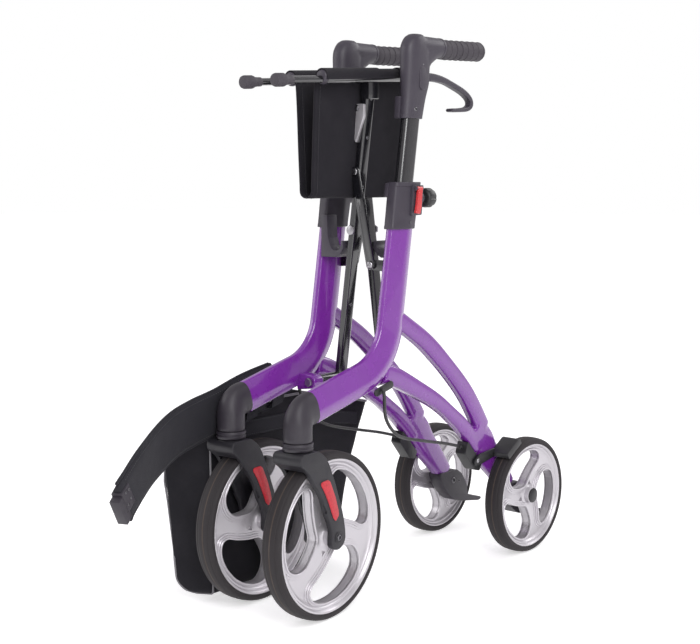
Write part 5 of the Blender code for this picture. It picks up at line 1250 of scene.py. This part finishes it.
def makeBraces():
    for name, side, y, body, node in (("braceRear", 1, hinge["rearY"], "brace_rear", "brace_rear"),
            ("braceFront", -1, hinge["frontY"], "brace_front", "brace_front")):
        reach = braceArm - rail["radius"] - 0.0012
        rings = []
        for distance in (-braceArm + 0.004, -0.1, 0.05, reach):
            mid = bracePoint(side, distance)
            rings.append([(mid[0] + v * cos(side * braceLean), y + u,
                mid[1] + v * sin(side * braceLean)) for u,
                v in fillet(mm(10, 6, -10, 6, -10, -6, 10, -6), 0.0042, 5)])
        bar = skin(name, rings)
        footX = side * hinge["x"]
        back = y + 0.011
        barrel = spin("barrel", [(0, 0.0043), (0, 0.0092), (0.0008, 0.01),
            (back - hinge["barrelFrontY"] - 0.0008, 0.01), (back - hinge["barrelFrontY"], 0.0092),
            (back - hinge["barrelFrontY"], 0.0043)], (footX, hinge["barrelFrontY"], hinge["z"]),
            (0, 1, 0), 32)
        mid = bracePoint(side, reach - 0.003)
        cheek = plateY("cheek", fillet([(mid[0] - 0.0085, mid[1] - 0.02),
            (mid[0] + 0.0085, mid[1] - 0.02), (mid[0] + 0.0085, mid[1] + 0.008),
            (mid[0] - 0.0085, mid[1] + 0.008)], 0.003, 3), y - 0.012, y + 0.012)
        cheek = softEdges(cut(cheek, rod("railRoom", -0.2, 0.2, 0.0112,
            (-side * hinge["x"], 0, railZ(0)), railWay, 40)), 0.0008)
        whole = together(name, bar, barrel, cheek)
        settle(whole, body, blackGloss, [node], 40)
        spots = []
        for distance in (0.205, 0.145, 0.068, -0.12):
            spot = bracePoint(side, distance)
            spots.append(((spot[0] - side * 0.006, y, spot[1]),
                (-side * cos(braceLean), 0, -sin(braceLean)), 1.0))
        for distance in (0.178, 0.09):
            spot = bracePoint(side, distance)
            spots.append(((spot[0], y - 0.0098, spot[1]), (0, -1, 0), 1.0))
        settle(screwSet(name + "Screws", spots, 0.0028, darkSteel), body, darkSteel)
    front = hinge["frontY"]
    bracket = plateY("braceBracket", fillet(mm(-2.7, 750.6, 5.7, 772, 30.3, 771.5, 30.3, 753,
        13.8, 712.1), 0.0022, 3), front - 0.015, front - 0.0095)
    settle(softEdges(bracket, 0.0008), "brace_front", silver, (), 40)
    nut = screwSet("bracketNut", [((0.0159, front - 0.0148, 0.7656), (0, -1, 0), 1.0)], 0.0052,
        darkSteel)
    settle(nut, "brace_front", darkSteel)


def makePivotBolt():
    front, back = hinge["frontY"] - 0.0103, hinge["rearY"] + 0.0103
    gapLow, gapHigh = hinge["frontY"] + 0.0103, hinge["rearY"] - 0.0103
    centre = (0, 0, hinge["pivotZ"])
    head = spin("head", [(front - 0.0038, 0), (front - 0.0034, 0.0042), (front - 0.0024, 0.0072),
        (front - 0.0008, 0.008), (front, 0.008), (front, 0)], centre, (0, 1, 0), 32)
    spacer = spin("spacer", [(gapLow, 0.0035), (gapLow, 0.007), (gapHigh, 0.007),
        (gapHigh, 0.0035)], centre, (0, 1, 0), 32)
    shaft = rod("shaft", front, back, 0.0038, centre, (0, 1, 0), 24)
    nut = spin("nut", [(back, 0), (back, 0.0066), (back + 0.0006, 0.0072), (back + 0.0034, 0.0072),
        (back + 0.004, 0.0064), (back + 0.004, 0)], centre, (0, 1, 0), 6)
    settle(together("pivotBolt", head, spacer, shaft, nut), "brace_rear", steel,
        ["pivot_bolt"], 32)


def makeRails():
    r, length = rail["radius"], rail["length"]
    for side, word, body in ((1, "left", "brace_front"), (-1, "right", "brace_rear")):
        start = Vector((side * hinge["x"], rail["frontY"], railZ(rail["frontY"])))
        bar = spin("seatRail" + word.capitalize(),
            [(0.006, 0), (0.006, r - 0.0012), (0.0068, r), (length - 0.001, r),
            (length - 0.0002, r - 0.0008), (length, r - 0.003), (length, 0)], start, railWay, 48)
        settle(bar, body, blackGloss, ["seat_rail_" + word], 35)
        cap = spin("railCap" + word.capitalize(), [(0.0001, 0), (0.0001, 0.0058), (0.0006, 0.008),
            (0.0018, 0.0098), (0.004, 0.0108), (0.0064, r), (0.0074, r), (0.0074, 0)], start,
            railWay, 48)
        settle(cap, body, charcoal, (), 50)
        rodEnd = start - railWay * 0.0002 - Vector((0, 0, rail["drop"]))
        reach, tipAt = rail["reach"], rail["reach"] - rail["tipLength"]
        bar = rod("railRod" + word.capitalize(), -0.004, tipAt, rail["rod"], rodEnd, -railWay, 32)
        settle(bar, body, blackGloss, ["rail_rod_" + word])
        tip = spin("rodTip" + word.capitalize(), [(tipAt - 0.0006, 0), (tipAt - 0.0006, 0.006),
            (tipAt + 0.0006, 0.0068), (tipAt + 0.006, 0.0068), (tipAt + 0.012, 0.0072),
            (tipAt + 0.0165, 0.0092), (tipAt + 0.0185, 0.0098), (reach - 0.0036, 0.0098),
            (reach - 0.0012, 0.009), (reach - 0.0002, 0.007), (reach, 0)], rodEnd, -railWay, 40)
        settle(tip, body, gripRubber, (), 55)


def makeLinks():
    topX = (link["topZ"] - hinge["pivotZ"]) * tan(braceLean)
    foot, top = Vector((link["footX"], link["footZ"])), Vector((topX, link["topZ"]))
    angle = atan2(top.y - foot.y, top.x - foot.x) * 180 / pi
    thick = link["thickness"]
    for side, word in sideWords:
        front, back, way = linkTab(side)
        near = (front if way < 0 else back) + way * 0.0006
        far = near + way * thick
        outline = arcOf(tuple(foot), 0.0077, angle + 90, angle + 270, 12) + arcOf(tuple(top),
            0.0077, angle - 90, angle + 90, 12)
        bar = plateY("linkArm", outline, min(near, far), max(near, far))
        hole = rod("hole", -0.02, 0.02, 0.0035, (foot.x, near, foot.y), (0, 1, 0), 20)
        bar = softEdges(cut(bar, hole), 0.0007, 2, 50)
        pin = spin("linkPin", [(-0.001, 0), (-0.001, 0.0046), (thick, 0.0046),
            (thick + 0.0006, 0.006), (thick + 0.0018, 0.0052), (thick + 0.0024, 0.003),
            (thick + 0.0024, 0)], (top.x, near, top.y), (0, way, 0), 28)
        if side < 0:
            bar, pin = mirrorX(bar), mirrorX(pin)
        settleSide(bar, "linkArm", word, "link", blackGloss, ["link_arm"], 40)
        settleSide(pin, "linkPin", word, "link", steel)


sling = {"frontY": -0.156, "length": 0.237, "lowZ": 0.628, "topX": 0.0198, "wide": 0.0118,
    "pinch": 0.0036, "thickness": 0.0018, "across": 60, "along": 60, "midY": -0.0255,
    "pinchReach": 0.105, "bend": 0.16, "hemFrom": -10, "hemTurn": 210, "hemInner": 0.0112,
    "hemOuter": 0.013, "hemThin": 0.0114, "seamInset": 0.012}


def slingHalfWidth(y):
    # wide at the open ends, pinched where the two braces pass
    off = min(abs(y - sling["midY"]) / sling["pinchReach"], 1.0)
    ease = off * off * (3 - 2 * off)
    return sling["pinch"] + (sling["wide"] - sling["pinch"]) * ease


def slingPoint(s, y):
    # s runs from -1 (left rail) over the fold at 0 to 1 (right rail)
    side = -1 if s > 0 else 1
    t = 1 - abs(s)
    low = slingHalfWidth(y)
    top = railZ(y) - 0.002
    bottom = sling["lowZ"]
    bend = sling["bend"]
    if t < 1 - bend:
        k = t / (1 - bend)
        x = sling["topX"] + (low - sling["topX"]) * min(1.0, k * 1.05) ** 0.8
        z = top + (bottom + low * 0.9 - top) * k
    else:
        k = (t - (1 - bend)) / bend
        angle = k * pi / 2
        x = low * cos(angle)
        z = bottom + low * 0.9 * (1 - sin(angle))
    return side * x, z


def makeSling():
    count, rows = sling["across"], sling["along"]
    shape = bmesh.new()
    grid = []
    for j in range(rows + 1):
        y = sling["frontY"] + sling["length"] * j / rows
        line = []
        for i in range(count + 1):
            s = -1 + 2 * i / count
            x, z = slingPoint(s, y)
            fold = noise.noise(Vector((s * 2.2, y * 16, 3.1))) * 0.0008 * (1 - abs(s) ** 4)
            line.append(shape.verts.new((x + fold, y, z)))
        grid.append(line)
    for near, far in zip(grid, grid[1:]):
        for i in range(count):
            shape.faces.new((near[i], near[i + 1], far[i + 1], far[i]))
    mesh = bpy.data.meshes.new("seatSling")
    shape.to_mesh(mesh)
    shape.free()
    sheet = addObject("seatSling", mesh)
    thick = sheet.modifiers.new("thick", "SOLIDIFY")
    thick.thickness = sling["thickness"]
    thick.offset = 0
    sheet = bake(sheet)
    seams = []
    inset = sling["seamInset"]
    for y in (sling["frontY"] + inset, sling["frontY"] + sling["length"] - inset):
        for face in (1, -1):
            points = []
            for i in range(2, count - 1):
                s = -1 + 2 * i / count
                x, z = slingPoint(s, y)
                grow = 0.0011 * face * (1 if x >= 0 else -1)
                points.append((x + (grow if abs(x) > 0.002 else 0), y,
                    z - (0.001 * face if abs(x) <= 0.006 else 0)))
            seams.append(stitchLine("slingSeam" + str(len(seams)), points))
    return sheet, seams


def makeSeat():
    sheet, seams = makeSling()
    sheet.data.transform(Matrix.Translation(originShift))
    sheet.data.materials.clear()
    sheet.data.materials.append(slingCloth)
    sheet.data.shade_smooth()
    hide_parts("seat_panel_left", "seat_panel_right")
    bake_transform(sheet)
    for seam in seams:
        seam.data.transform(Matrix.Translation(originShift))
        seam.data.shade_smooth()
        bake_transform(seam)
    for side, word, body, low, high in ((1, "left", "brace_front", -0.0295, 0.0165),
            (-1, "right", "brace_rear", -0.0645, -0.021)):
        # the hem that wraps the rail, thinner where the rail lies in the saddle when it is opened
        rings = []
        for k in range(73):
            y = sling["frontY"] + 0.001 + (sling["length"] - 0.002) * k / 72
            centre = Vector((side * hinge["x"], y, railZ(y)))
            ring = []
            for r in (sling["hemInner"], sling["hemThin"] if low < y < high else sling["hemOuter"]):
                run = []
                for i in range(15):
                    a = radians(sling["hemFrom"] + sling["hemTurn"] * i / 14)
                    run.append((centre.x - side * r * cos(a), y, centre.z + r * sin(a)))
                ring += run[::-1] if r == sling["hemOuter"] else run
            rings.append(ring)
        hem = skin("slingHem" + word.capitalize(), rings)
        settle(hem, body, slingCloth, (), 50)


bagSize = {"nearX": -0.107, "farX": -0.1735, "frontY": -0.256, "slant": 0.048, "rearY": 0.114,
    "taper": 0.29, "lean": 0.08, "lowZ": 0.011, "topZ": 0.307, "round": 0.032, "drop": 0.035,
    "straps": (-0.205, -0.148), "strapWidth": 0.025, "around": 120, "rows": 30,
    "webbing": (0.252, 0.279)}


def settleFabric(piece, finish, crease=38, nodes=()):
    # cloth and webbing of the bag and the band, which hang on the right frame
    settle(piece, "frame_right", finish, nodes, crease)


def bagPlan(z):
    # the outline at one height, without folds, smaller where the bottom rounds in
    s = bagSize
    up = z - s["lowZ"]
    near, far, ends = [r - (r * r - max(0.0, r - up) ** 2) ** 0.5
        for r in (0.013, s["round"], 0.01)]
    near = s["nearX"] - near
    far = s["farX"] + far + max(0.0, 0.2 - z) * s["lean"]
    front = s["frontY"] + ends
    rear = s["rearY"] - (s["topZ"] - z) * s["taper"] - ends
    corners = [(near, front), (far, front - s["slant"] * (near - far) / (s["nearX"] - s["farX"])),
        (far, rear), (near, rear)]
    size = min(1.0, (near - far) / 0.034)
    return evenly([Vector(p) for p in fillet(corners, [0.006 * size] + [0.012 * size] * 3, 6)],
        s["around"])


def bagPoint(p, z, dent=True):
    # one point of the skin, with the top's fall to the rear and the cloth's soft folds
    s = bagSize
    up = (z - s["lowZ"]) / (s["topZ"] - s["lowZ"])
    fall = s["drop"] * max(0.0, (p.y + 0.05) / 0.155) * max(0.0, up * 2 - 1)
    fall += 0.03 * max(0.0, (-0.19 - p.y) / 0.1) * max(0.0, up * 2 - 1)
    middle = (s["nearX"] + s["farX"]) / 2
    side = 1 if p.x > middle else -1
    soft = noise.noise(Vector((p.y * 11, z * 9, 2.0 + side))) + 0.5 * noise.noise(
        Vector((p.y * 26 + z * 14, z * 20, 9.0 - side)))
    inward = (0.0022 * soft - 0.003) * sin(pi * min(1.0, max(0.0, up))) * min(1.0,
        abs(p.x - middle) / 0.03)
    ahead = 0.0012 * soft * (1 if p.y < s["frontY"] + 0.004 else 0)
    return Vector((p.x + side * (inward if dent else 0), p.y + (max(0.0, ahead) if dent else 0),
        z - fall))


def makeBag():
    s = bagSize
    levels = [s["lowZ"] + s["round"] * k for k in (0.0, 0.01, 0.03, 0.07, 0.13, 0.22, 0.34, 0.5,
        0.7, 1.0)]
    levels += [levels[-1] + (s["topZ"] - levels[-1]) * i / s["rows"]
        for i in range(1, s["rows"] + 1)]
    shape = bmesh.new()
    loops = [[shape.verts.new(bagPoint(p, z)) for p in bagPlan(z)] for z in levels]
    for near, far in zip(loops, loops[1:]):
        for i in range(len(near)):
            j = (i + 1) % len(near)
            shape.faces.new((near[i], near[j], far[j], far[i]))
    shape.faces.new(loops[0])
    bmesh.ops.recalc_face_normals(shape, faces=shape.faces)
    mesh = bpy.data.meshes.new("bag")
    shape.to_mesh(mesh)
    shape.free()
    bag = addObject("bag", mesh)
    thick = bag.modifiers.new("thick", "SOLIDIFY")
    thick.thickness = 0.0022
    thick.offset = -1
    bag = bake(bag)
    settleFabric(bag, bagCloth, 50, ["bag"])
    # piping down the two front corners and round the bottom of the front face
    cords = []
    for side in (1, -1):
        path = []
        for z in [s["topZ"] - 0.003 - (s["topZ"] - 0.003 - s["lowZ"] - s["round"]) * i / 20
                for i in range(21)] + [s["lowZ"] + s["round"] * k
                for k in (0.7, 0.45, 0.28, 0.15, 0.07, 0.02)]:
            plan = bagPlan(z)
            edge = max(p.x * side for p in plan)
            corner = min((p for p in plan if edge - p.x * side < 0.004), key=lambda p: p.y)
            path.append(bagPoint(corner, z, False) + (Vector((0.0008, -0.0014, 0)) if side > 0
                else Vector((0.0012, 0.0004, 0))))
        cords.append(path)
    lower = [cords[0][-1].lerp(cords[1][-1], k / 4) for k in (1, 2, 3)]
    route = cords[0] + lower + cords[1][::-1]
    settleFabric(tube("bagPiping", smoothLine(route, 170), 0.0016, 8, True), piping, 60)
    # binding round the top edge, the sewn webbing under it and its two rows of stitches
    rim = [bagPoint(p, s["topZ"] - 0.001) for p in bagPlan(s["topZ"] - 0.001)]
    rim.append(rim[0])
    settleFabric(tube("bagBinding", smoothLine(rim, 170), 0.0022, 8), piping, 60)
    lowZ, highZ = s["webbing"]
    rings = []
    for share in [i / 40 for i in range(41)]:
        y = s["frontY"] + 0.008 + (s["rearY"] - s["frontY"] - 0.04) * share
        rings.append([bagPoint(Vector((s["nearX"], y)), z) + Vector((out, 0, 0)) for out,
            z in ((0.0004, lowZ), (0.0022, lowZ + 0.0008), (0.0022, highZ - 0.0008),
            (0.0004, highZ), (-0.0016, highZ - 0.001), (-0.0016, lowZ + 0.001))])
    settleFabric(skin("bagWebbing", rings), bandCloth, 30)
    for z, word in ((0.255, "Low"), (0.276, "High")):
        line = [bagPoint(Vector((s["nearX"], s["frontY"] + 0.01 + 0.0064 * i)), z)
            + Vector((0.0023, 0, 0)) for i in range(49)]
        settleFabric(stitchLine("bagSeam" + word, line), thread)
    straps = []
    for y in s["straps"]:
        under = armHeight(y) - (frameTube["depth"] / 2 + 0.0002) / cos(armSlope)
        profile = [(s["nearX"] - 0.002, under - 0.036), (s["nearX"] - 0.002, under - 0.0235),
            (-0.086, under - 0.0215), (-0.0795, under), (-0.063, under), (-0.063, under - 0.0018),
            (-0.0785, under - 0.0018), (-0.0845, under - 0.0235),
            (s["nearX"] - 0.0004, under - 0.0255), (s["nearX"] - 0.0004, under - 0.036)]
        rings = [[(x, y + step, z + step * tan(armSlope)) for x, z in profile]
            for step in (0, 0.006, 0.0125, 0.019, s["strapWidth"])]
        straps.append(skin("strap", rings))
    settleFabric(together("bagStraps", *straps), bandCloth, 30)


bandSize = {"width": 0.069, "thickness": 0.0125}


def bandFrames(count):
    path = [(-0.099, -0.13, 0.332), (-0.0995, -0.19, 0.3205), (-0.0985, -0.25, 0.304),
        (-0.09, -0.308, 0.295), (-0.0745, -0.36, 0.2865), (-0.053, -0.412, 0.271),
        (-0.0245, -0.462, 0.256), (-0.002, -0.503, 0.2375), (0.005, -0.518, 0.228)]
    line = smoothLine(path, count)
    out = []
    for centre, run in zip(line, directions(line)):
        flat = Vector((run.y, -run.x, 0)).normalized()
        up = run.cross(flat).normalized()
        if up.z < 0:
            up.negate()
        out.append((centre, run, flat, up))
    return out


def makeBand():
    s = bandSize
    frames = bandFrames(80)
    rings = []
    for i, (centre, _, flat, up) in enumerate(frames):
        share = i / 80
        high = s["width"] / 2 * (1 - 0.1 * max(0, share - 0.8) / 0.2)
        thick = s["thickness"] / 2 * (0.92 + 0.08 * sin(share * 9))
        ring = []
        for k in range(44):
            angle = 2 * pi * k / 44
            u, v = squared(cos(angle), 0.35), squared(sin(angle), 0.75)
            pull = 1 - 0.28 * max(0, abs(u) - 0.8) / 0.2
            ring.append(centre + up * u * high + flat * v * thick * pull)
        rings.append(ring)
    band = skin("backBand", rings)
    settleFabric(band, bandCloth, 60, ["backrest_band"])
    for edge, word in ((0.86, "Upper"), (-0.86, "Lower")):
        for face, way in ((1, "Out"), (-1, "In")):
            line = [c + u * s["width"] / 2 * edge + f * face * s["thickness"] / 2 * 0.8 for c, _, f,
                u in frames[2:-3]]
            settleFabric(stitchLine("bandSeam" + word + way, line, 0.005, 0.0034, 0.0004), thread)
    for edge, word in ((1.0, "Top"), (-1.0, "Bottom")):
        line = [c + u * s["width"] / 2 * edge for c, _, _, u in frames[1:-1]]
        settleFabric(tube("bandPiping" + word, line, 0.0022, 10, True), bandCloth, 60)
    # plate and screws at the free end
    centre, run, flat, up = frames[-1]
    centre = centre + Vector(run) * 0.004

    def block(name, a, b, c, origin):
        shape = bmesh.new()
        made = bmesh.ops.create_cube(shape, size=1.0)
        turn = Matrix((run, flat, up)).transposed()
        for vert in made["verts"]:
            vert.co = origin + turn @ Vector((vert.co.x * a, vert.co.y * b, vert.co.z * c))
        return softEdges(fromBmesh(name, shape), 0.001, 2)

    plate = block("bandPlate", 0.022, 0.0165, 0.034, centre - run * 0.012 + up * 0.006)
    hook = block("bandHook", 0.016, 0.015, 0.042, centre + run * 0.002 - up * 0.002)
    settle(together("bandEnd", plate, hook), "frame_right", elbowPlastic)
    spots = []
    for a, b in mm(-18, 16, -10, 18, -16, 2, -6, 0):
        for face in (1, -1):
            spots.append((centre + run * a + up * b + flat * face * 0.0086, flat * face, 0.7))
    settle(screwSet("bandScrews", spots, 0.003, darkSteel), "frame_right", darkSteel)
    peg = rod("bandPeg", 0, 0.01, 0.0095, (-sideX - 0.0148, -0.14, 0.34), (-1, 0, 0), 28)
    settle(peg, "frame_right", charcoal)


makeFrameTubes()
makeWishbones()
makeElbows()
print("side frames made")
makeForks()
makeRearWheels()
makeRearFeet()
makeBrakes()
print("wheels and brakes made")
makeSleeves()
makeHandles()
print("columns and handles made")
makeBraces()
makePivotBolt()
makeRails()
makeLinks()
makeSeat()
print("braces and seat made")
makeBag()
makeBand()
print("bag and band made")


def makeStage():
    s = {"size": 40.0, "key": 42.0, "fill": 16.0, "rim": 22.0, "strip": 7.0, "world": 0.62,
        "glow": 0.52}
    bpy.ops.mesh.primitive_plane_add(size=s["size"], location=tuple(originShift))
    floor = bpy.context.object
    floor.name = "floor"
    material, tree, shader = newFinish("floor white", (0.86, 0.86, 0.87), 0.9, specular=0.1)
    cloud = noiseAt(tree, 3.0, Detail=3.0)
    tree.links.new(mixColours(tree, cloud, (0.87, 0.87, 0.875), (0.89, 0.89, 0.89)),
        shader.inputs["Base Color"])
    ray = addNode(tree, "ShaderNodeLightPath")
    direct = calc(tree, "MAXIMUM", ray.outputs["Is Camera Ray"], ray.outputs["Is Glossy Ray"])
    seen = calc(tree, "MAXIMUM", direct, ray.outputs["Is Transmission Ray"])
    shader.inputs["Emission Color"].default_value = (1, 1, 1, 1)
    tree.links.new(calc(tree, "MULTIPLY", seen, s["glow"]), shader.inputs["Emission Strength"])
    floor.data.materials.append(material)
    world = bpy.data.worlds.new("studio")
    bpy.context.scene.world = world
    world.use_nodes = True
    tree = world.node_tree
    tree.nodes.clear()
    path = addNode(tree, "ShaderNodeLightPath")
    seen = calc(tree, "MAXIMUM", path.outputs["Is Camera Ray"], path.outputs["Is Transmission Ray"])
    ambient = addNode(tree, "ShaderNodeBackground",
        {"Color": (1.0, 0.97, 1.0, 1), "Strength": s["world"]})
    white = addNode(tree, "ShaderNodeBackground", {"Color": (1, 1, 1, 1), "Strength": 1.0})
    mix = addNode(tree, "ShaderNodeMixShader", {0: seen, 1: ambient.outputs[0],
        2: white.outputs[0]})
    addNode(tree, "ShaderNodeOutputWorld", {"Surface": mix.outputs[0]})
    target = originShift + Vector((0, 0, 0.42))
    for name, spot, size, power in (("key", (2.2, -1.6, 2.2), (1.3, 2.0), s["key"]),
            ("fill", (-2.2, -1.8, 1.6), (1.2, 1.8), s["fill"]),
            ("rim", (0.6, 2.6, 2.0), (2.0, 1.2), s["rim"]),
            ("strip", (2.3, -1.2, 1.0), (0.1, 2.2), s["strip"])):
        lamp = bpy.data.lights.new(name, "AREA")
        lamp.shape = "RECTANGLE"
        lamp.size, lamp.size_y = size
        lamp.energy = power
        holder = bpy.data.objects.new(name, lamp)
        holder.location = spot
        holder.rotation_euler = (target - Vector(spot)).to_track_quat("-Z", "Y").to_euler()
        bpy.context.scene.collection.objects.link(holder)


def makeCamera():
    s = {"azimuth": radians(40.34), "elevation": radians(6.67), "distance": 2.033, "targetZ": 0.418,
        "lens": 64.53, "shift": (-0.0326, 0.0076)}
    target = originShift + Vector((0, 0, s["targetZ"]))
    away = Vector((sin(s["azimuth"]) * cos(s["elevation"]),
        -cos(s["azimuth"]) * cos(s["elevation"]), sin(s["elevation"])))
    data = bpy.data.cameras.new("camera")
    data.lens = s["lens"]
    data.sensor_width = 36
    data.sensor_fit = "HORIZONTAL"
    data.shift_x, data.shift_y = s["shift"]
    data.dof.use_dof = False
    camera = bpy.data.objects.new("camera", data)
    camera.location = target + away * s["distance"]
    camera.rotation_euler = (-away).to_track_quat("-Z", "Y").to_euler()
    bpy.context.scene.collection.objects.link(camera)
    bpy.context.scene.camera = camera


makeStage()
makeCamera()
bpy.context.scene.view_settings.view_transform = "Standard"
print("stage and camera made")
